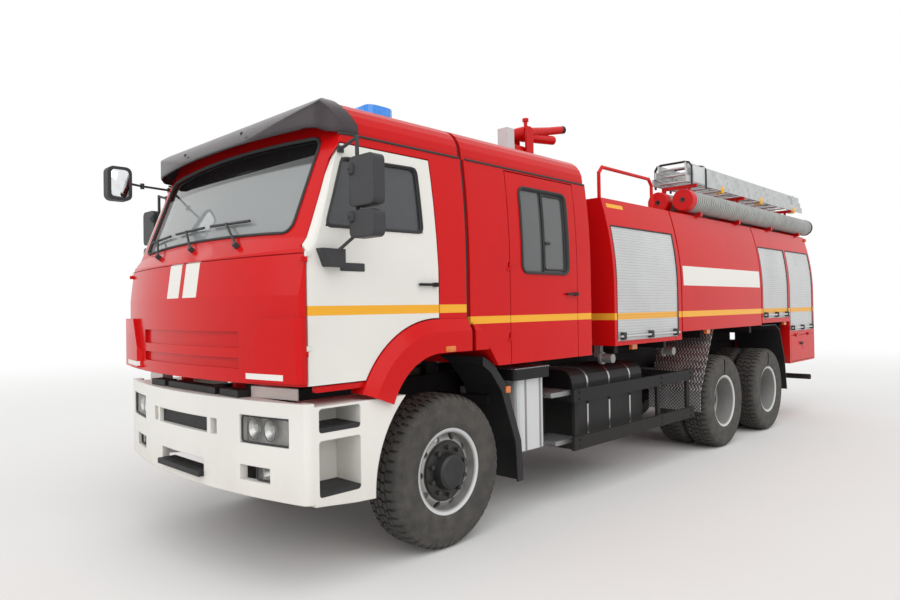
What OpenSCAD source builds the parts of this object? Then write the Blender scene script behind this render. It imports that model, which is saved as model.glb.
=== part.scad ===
// Fire truck: 6x4 cab-over pumper with a driver's cab, a crew cab and an equipment body.
// Millimetres, +Z up, +X forward. Lengths are measured from the front axle, and every node is
// then moved so that the origin is at the middle of the whole truck on the ground.

/* [Wheels] */
// Outer diameter of a tyre
tyre_d = 1076; // [1040:4:1100]
// Width of a tyre
tyre_w = 312; // [290:2:320]
// Diameter of a rim over its flanges
rim_d = 607; // [590:1:620]
// Distance between the front wheel centres
front_track = 2040; // [2000:10:2080]
// Distance between the middles of the twin wheels
rear_track = 1860; // [1840:5:1880]
// Distance between the two tyres of a twin
twin_pitch = 342; // [330:2:350]
// Front axle to first rear axle
wheelbase = 4600; // [4560:10:4640]
// First rear axle to second
tandem = 1440; // [1400:10:1460]

/* [Cabs] */
// Half width of both cabs at the doors
cab_half_w = 1235; // [1225:1:1245]
// Underside of the cabs
cab_floor_z = 1250; // [1244:1:1256]
// Top of the roofs at the centre line
roof_z = 3040; // [3000:5:3080]
// Gutter over the doors
gutter_z = 2755; // [2740:1:2765]
// Foremost point of the front panel
panel_x = 1392; // [1380:1:1396]
// Back of the driver's cab
cab_rear_x = -125; // [-130:1:-120]
// Front of the crew cab
crew_front_x = -165; // [-175:1:-160]
// Back of the crew cab
crew_rear_x = -1750; // [-1780:5:-1720]
// Thickness of a cab wall or door
cab_wall = 45; // [40:1:50]
// Gap around a door
door_gap = 8; // [6:1:10]

/* [Equipment body] */
// Half width of the equipment body
body_half_w = 1250; // [1240:1:1256]
// Front wall
body_front_x = -2120; // [-2150:5:-2100]
// Back wall
body_rear_x = -8060; // [-8100:5:-8030]
// Top edge of the sides
body_top_z = 2700; // [2660:5:2740]
// Height at which the sides begin to lean in
lean_z = 1850; // [1800:10:1900]
// Thickness of a body wall
body_wall = 40; // [34:1:46]

/* [Roof load] */
// Diameter of a suction hose case
case_d = 240; // [220:2:250]
// Length of a suction hose case
case_len = 4300; // [4200:10:4340]
// Length of the ladder
ladder_len = 4160; // [4100:10:4200]

/* [Hidden] */
$fn = 48;

red = [0.78, 0.06, 0.05];
white = [0.88, 0.87, 0.84];
black = [0.09, 0.09, 0.10];
grey = [0.35, 0.36, 0.37];
silver = [0.72, 0.73, 0.74];
glass = [0.25, 0.28, 0.30, 0.6];
amber = [0.95, 0.45, 0.08];

// Reach of the whole truck from the front axle: the front mirror leads and the ladder trails
front_reach = 1520;
ladder_rear_x = -8360;
origin_x = (front_reach + ladder_rear_x) / 2;
seat_gap = 0.3;

wheel_z = tyre_d / 2;
tyre_r = tyre_d / 2;
rim_r = rim_d / 2;
mid_axle_x = -wheelbase;
rear_axle_x = -wheelbase - tandem;
kingpin_y = 860;

// General helpers
function arc(cx, cy, r, a0, a1, n) =
  [for (i = [0:n]) [cx + r * cos(a0 + (a1 - a0) * i / n), cy + r * sin(a0 + (a1 - a0) * i / n)]];
function mirrored(pts) = concat(pts, [for (i = [len(pts) - 1:-1:0]) [-pts[i][0], pts[i][1]]]);

module along_x(x0, x1) { translate([x0, 0, 0]) rotate([90, 0, 90]) linear_extrude(x1 - x0) children(); }
module along_y(y0, y1) { translate([0, y1, 0]) rotate([90, 0, 0]) linear_extrude(y1 - y0) children(); }
module both_sides() { children(); mirror([0, 1, 0]) children(); }
module block(lo, hi) { translate(lo) cube(hi - lo); }
module rod_y(x, z, r, y0, y1) { translate([x, y1, z]) rotate([90, 0, 0]) cylinder(r = r, h = y1 - y0); }
module rod_x(y, z, r, x0, x1) { translate([x0, y, z]) rotate([0, 90, 0]) cylinder(r = r, h = x1 - x0); }
// A straight round bar between two points
module bar(a, b, r) {
  d = b - a;
  len = norm(d);
  translate(a) rotate([0, acos(d[2] / len), atan2(d[1], d[0])]) cylinder(r = r, h = len);
}
// A rectangle with rounded corners, by its low and high corners
module round_rect(lo, hi, r) {
  polygon(concat(
    arc(hi[0] - r, hi[1] - r, r, 0, 90, 5), arc(lo[0] + r, hi[1] - r, r, 90, 180, 5),
    arc(lo[0] + r, lo[1] + r, r, 180, 270, 5), arc(hi[0] - r, lo[1] + r, r, 270, 360, 5)));
}

// Cross-section of both cabs: straight sides, a lean above lean_in_z, a gutter and a crowned roof
lean_in_z = 2000;
cab_lean_r = 6000;
shoulder_r = 210;
shoulder_y = 955;
function lean_y(z, half, z0, r) = z <= z0 ? half : half - r + sqrt(r * r - (z - z0) * (z - z0));
function cab_y(z) = lean_y(z, cab_half_w, lean_in_z, cab_lean_r);
function cab_half(g) = concat(
  [[cab_half_w - g, cab_floor_z + g]],
  [for (i = [0:4]) let (z = lean_in_z + (gutter_z - lean_in_z) * i / 4) [cab_y(z) - g, z]],
  [[shoulder_y + shoulder_r - g, gutter_z + 6]],
  arc(shoulder_y, roof_z - 40 - shoulder_r, shoulder_r - g, 0, 90, 6),
  [[600, roof_z - 14 - g], [300, roof_z - 3 - g], [0, roof_z - g]]);

// Front of the driver's cab: a crowned panel and a leaning windscreen
crown_r = 5600;
corner_r = 60;
screen_x = 1262;
screen_r = 7600;
screen_z = 2150;
screen_lean = 21.2;
header_r = 300;
header_x = 711;
module panel_plan(g) {
  intersection() {
    translate([panel_x - crown_r, 0]) circle(r = crown_r - g, $fn = 480);
    polygon([for (s = [1, -1]) each [for (p = s > 0 ? front_corner(g) : reverse(front_corner(g))) [p[0], s * p[1]]]]);
  }
}
function reverse(v) = [for (i = [len(v) - 1:-1:0]) v[i]];
function front_corner(g) = concat(
  [[1600, 900 - g]],
  arc(panel_x - 180, cab_half_w - corner_r, corner_r - g, 25, 90, 4),
  [[cab_rear_x + g, cab_half_w - g]]);
module in_screen() { translate([screen_x, 0, screen_z]) rotate([0, -screen_lean, 0]) children(); }
// The cowl strip under the windscreen lies flatter, and the panel leans back a little to meet it
cowl_lean = 37;
panel_lean = 8;
panel_lean_z = 1780;
module in_cowl() { translate([screen_x, 0, screen_z]) rotate([0, -cowl_lean, 0]) children(); }
module leaning_panel(g) {
  translate([panel_x, 0, panel_lean_z]) rotate([0, -panel_lean, 0]) translate([-crown_r, 0, -1000])
    cylinder(r = crown_r - g, h = 2600, $fn = 480);
}
module screen_plan(g) {
  pillar_r = 60;
  intersection() {
    translate([-screen_r, 0]) circle(r = screen_r - g, $fn = 480);
    polygon(mirror_y(concat([[400, 900]], arc(-150, cab_half_w - pillar_r, pillar_r - g, 25, 90, 4),
      [[-2400, cab_half_w - g]])));
  }
}
function mirror_y(pts) = concat(pts, [for (p = reverse(pts)) [p[0], -p[1]]]);
module cab_solid(g) {
  intersection() {
    along_x(cab_rear_x + g, 1700) polygon(mirrored(cab_half(g)));
    translate([0, 0, 1000]) linear_extrude(2400) panel_plan(g);
    leaning_panel(g);
    union() {
      in_screen() translate([0, 0, -1600]) linear_extrude(3400) screen_plan(g);
      in_cowl() translate([0, 0, -1600]) linear_extrude(3400) screen_plan(g);
    }
    along_y(-1400, 1400) polygon(concat([[-900, 900], [1800, 900], [1800, 2840 - g]],
      arc(header_x, roof_z - header_r, header_r - g, 19, 90, 6), [[-900, roof_z - g]]));
  }
}
module cab_hollow() { difference() { cab_solid(0); cab_solid(cab_wall); } }
// Room between the two side skins, each of them t thick, with an open floor
module between_skins(t) {
  along_x(-3000, 2000) polygon(mirrored(concat([[cab_half_w - t, 900]],
    [for (i = [0:4]) let (z = lean_in_z + (gutter_z - lean_in_z) * i / 4) [cab_y(z) - t, z]])));
}

// Wheel arch over the front wheel, shared by door, cab, flare and crew cab
arch_x = 180;
arch_z = 920;
arch_r = 690;
arch_top_z = arch_z + arch_r;
arch_rear_x = -307;
module arch_outline(r) {
  translate([arch_x, arch_z]) circle(r = r, $fn = 96);
  translate([arch_rear_x - 700, arch_z - 400]) square([arch_x - arch_rear_x + 700, r + 400]);
}
module arch_cut(r, y0, y1) {
  difference() {
    along_y(y0, y1) arch_outline(r);
    block([-3000, y0 - 1, 0], [arch_rear_x - 8, y1 + 1, 3000]);
  }
}

// Driver's door: outline in side view, with g taken off every side
door_front_x = 1215;
door_rear_x = 150;
door_top_z = 2695;
module cab_door_outline(g) {
  difference() {
    polygon([
      [door_front_x - g, cab_floor_z - 30], [door_front_x - g, 2120], [940 - g, door_top_z - g],
      [door_rear_x + 45 + g, door_top_z - g], [door_rear_x + g, 1950], [door_rear_x + g, cab_floor_z - 30]
    ]);
    arch_outline(arch_r + 4 + g);
  }
}
module cab_window_outline(g) {
  polygon([[1078 - g, 2175 + g], [935 - g, 2605 - g], [320 + g, 2620 - g], [292 + g, 2185 + g]]);
}
hinge_y = cab_half_w + 5;
hinge_r = 9;
hinge_pin_r = 5;
leaf_room = hinge_r + 6;
leaf_len = 32;
// One leaf of a door hinge: the fixed leaf holds the pin, the door's leaf turns on it
module hinge_fixed(x, z) {
  translate([x, hinge_y, z]) {
    cylinder(r = hinge_r, h = 30);
    cylinder(r = hinge_pin_r, h = 60);
    translate([0, -14, 2]) cube([leaf_len, 14, 26]);
  }
}
module hinge_moving(x, z) {
  translate([x, hinge_y, z + 30 + seat_gap]) difference() {
    union() {
      cylinder(r = hinge_r, h = 30);
      translate([-leaf_len, -14, 2]) cube([leaf_len, 14, 26]);
    }
    translate([0, 0, -1]) cylinder(r = hinge_pin_r + 0.05, h = 40);
  }
}
cab_hinge_zs = [1420, 1960];
crew_hinge_zs = [1420, 1960];
cab_hinge_x = door_front_x + 6;

module cab_door() {
  difference() {
    intersection() {
      cab_solid(0);
      along_y(1060, 1300) cab_door_outline(door_gap / 2);
    }
    between_skins(cab_wall);
    along_y(1000, 1400) cab_window_outline(0);
    for (z = cab_hinge_zs) translate([cab_hinge_x, hinge_y, z - 4]) cylinder(r = leaf_room, h = 36);
  }
  for (z = cab_hinge_zs) hinge_moving(cab_hinge_x, z);
  // Pull handle on its base
  along_y(cab_half_w, cab_half_w + 26) round_rect([175, 1828], [215, 1858], 10);
  along_y(cab_half_w + 12, cab_half_w + 26) round_rect([190, 1834], [350, 1852], 8);
}
module cab_glass() {
  intersection() {
    difference() { cab_solid(16); between_skins(24); }
    along_y(1060, 1300) cab_window_outline(seat_gap);
  }
}

// Driver's cab
panel_top_z = 2015;
module panel_zone(g) {
  block([door_front_x + g, -1400, 1000], [1700, 1400, panel_top_z - g]);
}
pivot_x = 1250;
pivot_z = 1020;
pivot_y = 380;
pivot_r = 25;
lug_half = 25;
lug_r = 46;
lug_room = 32;
arch_box_t = 16;
module cab_shell() {
  color(red) {
    difference() {
      cab_hollow();
      both_sides() difference() {
        along_y(1060, 1400) cab_door_outline(-door_gap / 2);
        between_skins(cab_wall + door_gap);
      }
      both_sides() arch_cut(arch_r + seat_gap, 700, 1400);
      panel_zone(0);
      in_screen() screen_opening(0);
      along_x(-400, 0) round_rect([-780, 1650], [780, 2750], 80);
    }
    // Arch box that closes the floor over each front wheel
    both_sides() intersection() {
      cab_solid(2);
      difference() {
        arch_cut(arch_r + arch_box_t, 688, cab_half_w - cab_wall - door_gap);
        arch_cut(arch_r + seat_gap, 700, 1400);
      }
    }
    // Lugs that turn on the tilt pins
    both_sides() difference() {
      union() {
        block([pivot_x - 110, pivot_y - lug_half, pivot_z], [pivot_x - 45, pivot_y + lug_half, cab_floor_z + 5]);
        along_y(pivot_y - lug_half, pivot_y + lug_half) translate([pivot_x, pivot_z]) circle(r = lug_r);
        block([pivot_x - 100, pivot_y - lug_half, pivot_z - 20], [pivot_x, pivot_y + lug_half, pivot_z + 40]);
      }
      rod_y(pivot_x, pivot_z, pivot_r + 0.05, pivot_y - 60, pivot_y + 60);
    }
  }
}
screen_half = 1040;
screen_top = 672;
module screen_opening(g) {
  rotate([90, 0, 90]) translate([0, 0, -260]) linear_extrude(460)
    round_rect([-screen_half + g, 22 + g], [screen_half - g, screen_top - g], 70);
}
module windscreen() {
  color(glass) intersection() {
    difference() { cab_solid(14); cab_solid(22); }
    in_screen() screen_opening(seat_gap);
  }
}
// Front panel with its pressed grille and the corner deflectors
module front_panel() {
  recess = 22;
  color(red) {
    difference() {
      intersection() { cab_hollow(); panel_zone(seat_gap); }
      // Dark line along the panel's top and door edges
      difference() {
        union() {
          block([1180, -1400, panel_top_z - 6], [1700, 1400, panel_top_z + 1]);
          block([1180, -1400, 1200], [door_front_x + door_gap / 2, 1400, panel_top_z]);
        }
        cab_solid(9);
      }
      // Two pressed bands of the grille
      for (band = [[1462, 1560], [1335, 1400]])
        difference() {
          block([1200, -700, band[0]], [1500, 700, band[1]]);
          translate([0, 0, 900]) linear_extrude(1400) panel_plan(recess);
        }
      both_sides() for (z = cab_hinge_zs) translate([cab_hinge_x, hinge_y, z + 26])
        cylinder(r = leaf_room, h = 40);
    }
    both_sides() for (z = cab_hinge_zs) hinge_fixed(cab_hinge_x, z);
    // Raised corner deflectors
    both_sides() intersection() {
      difference() {
        translate([0, 0, 1268]) linear_extrude(372) deflector_plan(34);
        translate([0, 0, 1200]) linear_extrude(500) panel_plan(1);
      }
      along_x(900, 1600) polygon([[720, 1268], [1290, 1268], [1290, 1640], [930, 1640]]);
      block([cab_hinge_x + leaf_room, 0, 1200], [1600, 1300, 1700]);
    }
  }
}
module deflector_plan(out) {
  intersection() {
    translate([panel_x - crown_r, 0]) circle(r = crown_r + out, $fn = 480);
    translate([1100, -cab_half_w - 22]) square([500, 2 * (cab_half_w + 22)]);
    rotate(38) translate([500, -200]) square([1272, 1600]);
  }
}

// Dashboard, steering wheel and three seats on plinths
module seat(x, y, w, base_z) {
  block([x - 200, y - w / 2 + 40, base_z], [x + 200, y + w / 2 - 40, base_z + 180]);
  along_y(y - w / 2, y + w / 2) round_rect([x - 240, base_z + 180], [x + 260, base_z + 300], 40);
  translate([x - 230, 0, base_z + 240]) rotate([0, -12, 0])
    along_y(y - w / 2, y + w / 2) round_rect([-60, 0], [60, 640], 45);
  translate([x - 362, 0, base_z + 862]) rotate([0, -12, 0])
    along_y(y - 130, y + 130) round_rect([-45, -8], [45, 190], 35);
}
plinth_z = arch_z + arch_r + arch_box_t + seat_gap;
module cab_interior() {
  floor_z = cab_floor_z + cab_wall;
  color(black) {
    along_y(-1080, 1080) polygon([[860, 1700], [1130, 1700], [1130, 2030], [1080, 2090], [940, 2030], [880, 1900]]);
    both_sides() block([900, 1050, floor_z], [960, 1090, 1700]);
    // Steering wheel on its column
    translate([805, 560, 2085]) rotate([0, -30, 0]) {
      rotate_extrude() translate([225, 0]) circle(r = 16, $fn = 24);
      for (a = [90, 210, 330]) rotate([0, 0, a]) translate([-14, 0, -12]) cube([28, 226, 20]);
      translate([0, 0, -300]) cylinder(r = 36, h = 320);
    }
    block([60, -680, floor_z], [640, 680, plinth_z]);
  }
}
module cab_seats() {
  color(black) for (y = [560, 0, -560]) seat(370, y, y == 0 ? 420 : 520, plinth_z + seat_gap);
}

// Flare over the front wheel, as a bent sheet: [distance from the arch centre, width position]
flare_out = 1285;
flare = [[462, flare_out], [605, flare_out], [arch_r, 1242], [arch_r, 1120], [arch_r - 14, 1120],
  [arch_r - 14, 1232], [600, flare_out - 16], [462, flare_out - 16]];
flare_foot_a = 21;
// Line where the flare's tail and the crew cab's corner meet
bevel = [[-120, arch_top_z], [arch_rear_x, 1480]];
module flare_straight(x0, x1) { along_x(x0, x1) polygon([for (p = flare) [p[1], arch_z + p[0]]]); }
module flare_front() {
  translate([arch_x, 0, arch_z]) rotate([90, 0, 0]) rotate([0, 0, flare_foot_a])
    rotate_extrude(angle = 90 - flare_foot_a, $fn = 96) polygon([for (p = flare) [p[0], -p[1]]]);
  flare_straight(cab_rear_x, arch_x + 1);
}
module flare_rear() {
  end_t = 12;
  difference() {
    union() {
      flare_straight(arch_rear_x, crew_front_x);
      // Closing plate under the crew cab's corner
      intersection() {
        along_x(arch_rear_x, crew_front_x)
          polygon([[flare_out, arch_z + 462], [flare_out, arch_z + 605], [1242, arch_top_z], [1120, arch_top_z], [1120, arch_z + 462]]);
        along_y(1000, 1400)
          polygon([bevel[0], bevel[1], bevel[1] - [0, end_t], bevel[0] - [0, end_t]]);
      }
    }
    along_y(1000, 1400) polygon([bevel[0], bevel[0] + [0, 90], bevel[1] + [-90, 90], bevel[1] - [90, 0], bevel[1]]);
  }
}
module wheel_flares() { color(red) both_sides() flare_front(); }

// Smoked visor: a curved shell over the windscreen that wraps round the pillars
visor_lip_x = 1160;
visor_half = 1195;
visor_t = 8;
visor_bow_r = 385;
visor_side_r = 230;
module visor_solid(g) {
  intersection() {
    along_y(-1200, 1200) polygon(concat([[600, 2700], [visor_lip_x - g, 2700]],
      arc(visor_lip_x - 370, 2650, visor_bow_r - g, 19, 80, 12), [[600, 3080 - g]]));
    along_x(600, 1300) polygon(mirrored(concat([[visor_half - g, 2700]],
      arc(shoulder_y, 2772, visor_half - shoulder_y - g, 0, 84, 12), [[500, 3052 - g], [0, 3065 - g]])));
    translate([0, 0, 2600]) linear_extrude(600) intersection() {
      translate([visor_lip_x - crown_r, 0]) circle(r = crown_r - g, $fn = 480);
      polygon(mirror_y(concat([[1400, 700]],
        arc(visor_lip_x - 300, visor_half - visor_side_r, visor_side_r - g, 24, 90, 12), [[600, visor_half - g]])));
    }
  }
}
module sun_visor() {
  color([0.22, 0.20, 0.21]) {
    intersection() {
      difference() { visor_solid(0); visor_solid(visor_t); }
      along_y(-1200, 1200) polygon([[795, 2762], [1000, 2762], [1065, 2795], [1300, 2795], [1300, 3200],
        [880, 3200], [880, 2960], [850, 2910], [795, 2820]]);
    }
    // Feet on the flat of the roof
    both_sides() along_y(440, 460)
      polygon([[640, roof_z - 7.8], [700, roof_z - 7.8], [790, 3037], [890, 3008], [890, 3022], [740, 3054], [640, 3045]]);
  }
}
bar_x0 = 100;
module light_bar() {
  color([0.1, 0.3, 0.85]) {
    intersection() {
      along_y(-790, 790) round_rect([bar_x0, roof_z + 6], [bar_x0 + 310, roof_z + 100], 46);
      translate([0, 0, roof_z]) linear_extrude(200) round_rect([bar_x0, -790], [bar_x0 + 310, 790], 110);
    }
    both_sides() block([bar_x0 + 100, 500, roof_z - 10], [bar_x0 + 210, 560, roof_z + 30]);
  }
}
// Wipers, roof aerial and the front-view mirror at the right pillar: [pivot, tip] along the width
wipers = [[580, 120], [0, -440], [-580, -990]];
function screen_bow(y) = -y * y / (2 * screen_r) + seat_gap;
module cab_fittings() {
  color(black) {
    for (w = wipers) in_cowl() translate([screen_bow(abs(w[0]) - 18), w[0], -60])
      rotate([0, 90, 0]) cylinder(r = 18, h = 34);
    for (w = wipers) in_screen() {
      bar([screen_bow(w[0]) + 40, w[0], -50], [screen_bow(w[0] - 250) + 16, w[0] - 250, 120], 8);
      bar([screen_bow(w[0]) + 10, w[0] + 20, 120], [screen_bow(w[1]) + 10, w[1], 120], 9);
    }
    // Mirror arm runs forward from the right roof pillar
    bar([930, -cab_y(2702) - 14, 2722], [1180, -1150, 2720], 9);
    bar([1180, -1150, 2720], [1420, -front_mirror_y - 20, 2710], 9);
    translate([1180, -1150, 2698]) cylinder(r = 16, h = 44);
    block([905, -cab_y(2704) - 26, 2704], [945, -cab_y(2704) - seat_gap, 2742]);
    front_mirror();
    translate([585, 600, roof_z - 12]) cylinder(r1 = 45, r2 = 15, h = 110);
  }
}
front_mirror_y = 985;
module front_mirror() {
  along_y(-front_mirror_y - 45, -front_mirror_y + 45)
    round_rect([front_reach - 180, 2555], [front_reach, 2815], 45);
}

// Mirrors on the door: two housings on one tube
mirror_tube_x = 950;
mirror_tube_y = 1375;
mirror_w = 225;
mirror_x0 = mirror_tube_x - 28;
mirror_x1 = mirror_tube_x + 52;
module door_mirror() {
  color(black) {
    block([mirror_tube_x - 25, cab_y(2630) + seat_gap, 2630], [mirror_tube_x + 15, cab_y(2630) + 16, 2670]);
    bar([mirror_tube_x - 5, cab_y(2630) + 8, 2650], [mirror_tube_x, mirror_tube_y, 2690], 10);
    bar([mirror_tube_x, mirror_tube_y, 2690], [mirror_tube_x, mirror_tube_y, 2130], 12);
    bar([mirror_tube_x, mirror_tube_y, 2130], [1030, 1290, 2030], 10);
    for (z = [2690, 2130]) translate([mirror_tube_x, mirror_tube_y, z]) sphere(r = 13);
    along_y(cab_half_w, 1300) polygon([[985, 2040], [985, 1935], [1105, 1935], [1150, 2040]]);
    for (z = [[2275, 2565], [2095, 2252]]) along_x(mirror_x0, mirror_x1)
      round_rect([mirror_tube_y - 14, z[0]], [mirror_tube_y - 14 + mirror_w, z[1]], 38);
  }
}

// Crew cab
crew_door_front_x = -620;
crew_door_rear_x = -1535;
crew_hinge_x = crew_door_front_x + 6;
module crew_solid(g) {
  along_x(crew_rear_x + g, crew_front_x - g) polygon(mirrored(cab_half(g)));
}
module crew_hollow() { difference() { crew_solid(0); crew_solid(cab_wall); } }
module crew_corner_cut(t) {
  along_y(-1500, 1500) polygon([[0, 1000], [0, bevel[0][1] + t], bevel[0] + [0, t],
    bevel[1] + [-t, t / 2], [-470 - t, cab_floor_z - 1], [-470 - t, 1000]]);
}
module crew_door_outline(g) {
  polygon([[crew_door_front_x - g, cab_floor_z - 30], [crew_door_front_x - g, gutter_z - 20 - g],
    [crew_door_rear_x + g, gutter_z - 20 - g], [crew_door_rear_x + g, cab_floor_z - 30]]);
}
module crew_window_outline(g) { round_rect([-1400 + g, 1955 + g], [-775 - g, 2625 - g], 60); }
module crew_cab() {
  color(red) {
    difference() {
      crew_hollow();
      both_sides() difference() {
        along_y(1060, 1400) crew_door_outline(-door_gap / 2);
        between_skins(cab_wall + door_gap);
      }
      crew_corner_cut(0);
      along_x(-300, 0) round_rect([-780, 1700], [780, 2750], 80);
      both_sides() for (z = crew_hinge_zs) translate([crew_hinge_x, hinge_y, z + 26])
        cylinder(r = leaf_room, h = 40);
    }
    // Sloping footwell wall over the wheel
    difference() {
      intersection() { crew_solid(2); crew_corner_cut(cab_wall); }
      crew_corner_cut(0);
    }
    both_sides() for (z = crew_hinge_zs) hinge_fixed(crew_hinge_x, z);
    both_sides() flare_rear();
  }
}
module crew_door() {
  difference() {
    intersection() {
      crew_solid(0);
      along_y(1060, 1300) crew_door_outline(door_gap / 2);
    }
    between_skins(cab_wall);
    along_y(1000, 1400) crew_window_outline(0);
    for (z = crew_hinge_zs) translate([crew_hinge_x, hinge_y, z - 4]) cylinder(r = leaf_room, h = 36);
  }
  for (z = crew_hinge_zs) hinge_moving(crew_hinge_x, z);
  along_y(cab_half_w, cab_half_w + 26) round_rect([-1520, 1772], [-1480, 1802], 10);
  along_y(cab_half_w + 12, cab_half_w + 26) round_rect([-1500, 1778], [-1350, 1796], 8);
}
module crew_glass() {
  intersection() {
    difference() { crew_solid(16); between_skins(24); }
    along_y(1060, 1300) crew_window_outline(seat_gap);
  }
}
module cab_seal() {
  color(black) difference() {
    along_x(crew_front_x, cab_rear_x - 5) polygon(mirrored(cab_half(22)));
    along_x(crew_front_x - 10, cab_rear_x + 10) polygon(mirrored(cab_half(52)));
    block([-400, -1400, 1000], [0, 1400, arch_top_z + 10]);
  }
}
module crew_bench() {
  floor_z = cab_floor_z + cab_wall;
  color(black) {
    block([-1620, -1050, floor_z], [-1240, 1050, 1620]);
    along_y(-1080, 1080) round_rect([-1640, 1620], [-1180, 1740], 40);
    along_y(-1080, 1080) round_rect([-1690, 1680], [-1580, 2380], 40);
  }
}

// Equipment body
body_lean_r = 2850;
function body_y(z) = lean_y(z, body_half_w, lean_z, body_lean_r);
function body_half(g, z0) = concat([[body_half_w - g, z0], [body_half_w - g, lean_z]],
  [for (i = [1:8]) let (z = lean_z + (body_top_z - lean_z) * i / 8) [body_y(z) - g, z]]);
module body_section(g, z0, x0, x1) {
  along_x(x0, x1) polygon(mirrored(body_half(g, z0)));
}
// Sections of the body: [front, back, underside]
bay_1 = [body_front_x, -3505, 1310];
bay_2 = [-3505, -5850, 1395];
bay_3 = [-5850, -6930, 1420];
bay_4 = [-6930, body_rear_x, 815];
bays = [bay_1, bay_2, bay_3, bay_4];
deck_z = 2640;
// Shutter openings: [front, back, bottom, top]
shutter_holes = [[-2165, -3425, 1350, 2440], [-5895, -6895, 1480, 2440], [-6960, -8005, 1275, 2440]];
locker = [-6985, -8005, 835, 1215];
rear_hole = [-760, 560, 1345, 2480];
module body_shell() {
  color(red) {
    difference() {
      for (b = bays) body_section(0, b[2], b[1], b[0]);
      // Rooms behind the shutters, the tank room and the pump room
      for (b = bays) body_section(body_wall, b[2] + body_wall, b[1] + body_wall, b[0] - body_wall);
      // Seams between the sections
      for (x = [bay_1[1], bay_2[1]]) difference() {
        body_section(-20, 1000, x - 14, x + 14);
        body_section(14, 900, x - 30, x + 30);
      }
      both_sides() for (h = shutter_holes)
        along_y(body_half_w - 250, body_half_w + 50) polygon([[h[0], h[2]], [h[0], h[3]], [h[1], h[3]], [h[1], h[2]]]);
      both_sides() along_y(body_half_w - 70, body_half_w + 50) round_rect([locker[1], locker[2]], [locker[0], locker[3]], 8);
      block([body_rear_x - 10, rear_hole[0], rear_hole[2]], [body_rear_x + body_wall + 5, rear_hole[1], rear_hole[3]]);
      // Well of the walkway between the parapets
      block([body_rear_x + body_wall, -well_y, deck_z], [body_front_x - body_wall, well_y, 3000]);
      // Tunnel for the chassis frame under the pump room
      block([body_rear_x - 10, -470, 700], [bay_4[0] + 10, 470, 1285]);
    }
    difference() {
      block([body_rear_x + 2, -510, 816], [bay_4[0] - 2, 510, 1325]);
      block([body_rear_x - 10, -470, 700], [bay_4[0] + 10, 470, 1285]);
    }
    // Deck of the walkway and its hatch
    deck_half = body_half_w - 170;
    block([body_rear_x + body_wall - 2, -deck_half, deck_z - 30], [body_front_x - body_wall + 2, deck_half, deck_z]);
    translate([-4700, -300, deck_z - 1]) cylinder(r = 260, h = 19);
  }
}
// Slatted curtains with their lift bars
module shutter_curtain(h) {
  intersection() {
    difference() {
      body_section(8, 800, body_rear_x, body_front_x);
      body_section(26, 700, body_rear_x - 10, body_front_x + 10);
    }
    block([h[1] + seat_gap, body_half_w - 350, h[2] + seat_gap],
      [h[0] - seat_gap, body_half_w + 50, h[3] - seat_gap]);
  }
  x0 = h[1] + 30;
  x1 = h[0] - 30;
  rod_x(body_half_w + 20, h[2] + 45, 11, x0, x1);
  for (x = [x0 + 60, (x0 + x1) / 2, x1 - 60])
    block([x - 22, body_half_w - 12, h[2] + 20], [x + 22, body_half_w + 26, h[2] + 75]);
}
module shutters() {
  color(silver) {
    both_sides() for (h = shutter_holes) shutter_curtain(h);
    block([body_rear_x + 12, rear_hole[0] + seat_gap, rear_hole[2] + seat_gap],
      [body_rear_x + 32, rear_hole[1] - seat_gap, rear_hole[3] - seat_gap]);
    rod_y(body_rear_x - 20, rear_hole[2] + 60, 11, rear_hole[0] + 60, rear_hole[1] - 60);
    for (y = [rear_hole[0] + 120, rear_hole[1] - 120])
      block([body_rear_x - 26, y - 22, rear_hole[2] + 35], [body_rear_x + 13, y + 22, rear_hole[2] + 90]);
  }
}
lid_hinge_z = locker[3] + 4;
lid_hinge_y = body_half_w + 14;
module locker_lid() {
  along_y(body_half_w - 24, body_half_w)
    round_rect([locker[1] + 6, locker[2] + 6], [locker[0] - 6, locker[3] - 6], 6);
  // Knuckles that turn on the fixed pins
  for (x = [locker[1] + 200, locker[0] - 260]) difference() {
    union() {
      rod_x(lid_hinge_y, lid_hinge_z, 8, x, x + 60);
      block([x, body_half_w - 12, lid_hinge_z - 26], [x + 60, lid_hinge_y + 4, lid_hinge_z - 6]);
    }
    rod_x(lid_hinge_y, lid_hinge_z, 4.05, x - 5, x + 65);
  }
  along_y(body_half_w - 2, body_half_w + 3) round_rect([-7520, 990], [-7496, 1080], 11);
}
module locker_pins() {
  for (x = [locker[1] + 200, locker[0] - 260]) {
    rod_x(lid_hinge_y, lid_hinge_z, 4, x - 30, x + 90);
    for (e = [x - 30, x + 60 + seat_gap]) {
      rod_x(lid_hinge_y, lid_hinge_z, 8, e, e + 30 - seat_gap);
      block([e, body_half_w - 6, lid_hinge_z], [e + 30 - seat_gap, lid_hinge_y, lid_hinge_z + 16]);
    }
  }
}

// Handrails, ladder rack and hose case cradles
rail_r = 17;
module handrail(y, x0, x1) {
  top = 3000;
  bar([x0, y, body_top_z], [x0, y, top - 60], rail_r);
  bar([x0, y, top - 60], [x0 - 60, y, top], rail_r);
  bar([x0 - 60, y, top], [x1 + 60, y, top], rail_r);
  bar([x1 + 60, y, top], [x1, y, top - 60], rail_r);
  bar([x1, y, body_top_z], [x1, y, top - 60], rail_r);
  for (p = [[x0, top - 60], [x0 - 60, top], [x1 + 60, top], [x1, top - 60]])
    translate([p[0], y, p[1]]) sphere(r = rail_r + 1);
}
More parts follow.
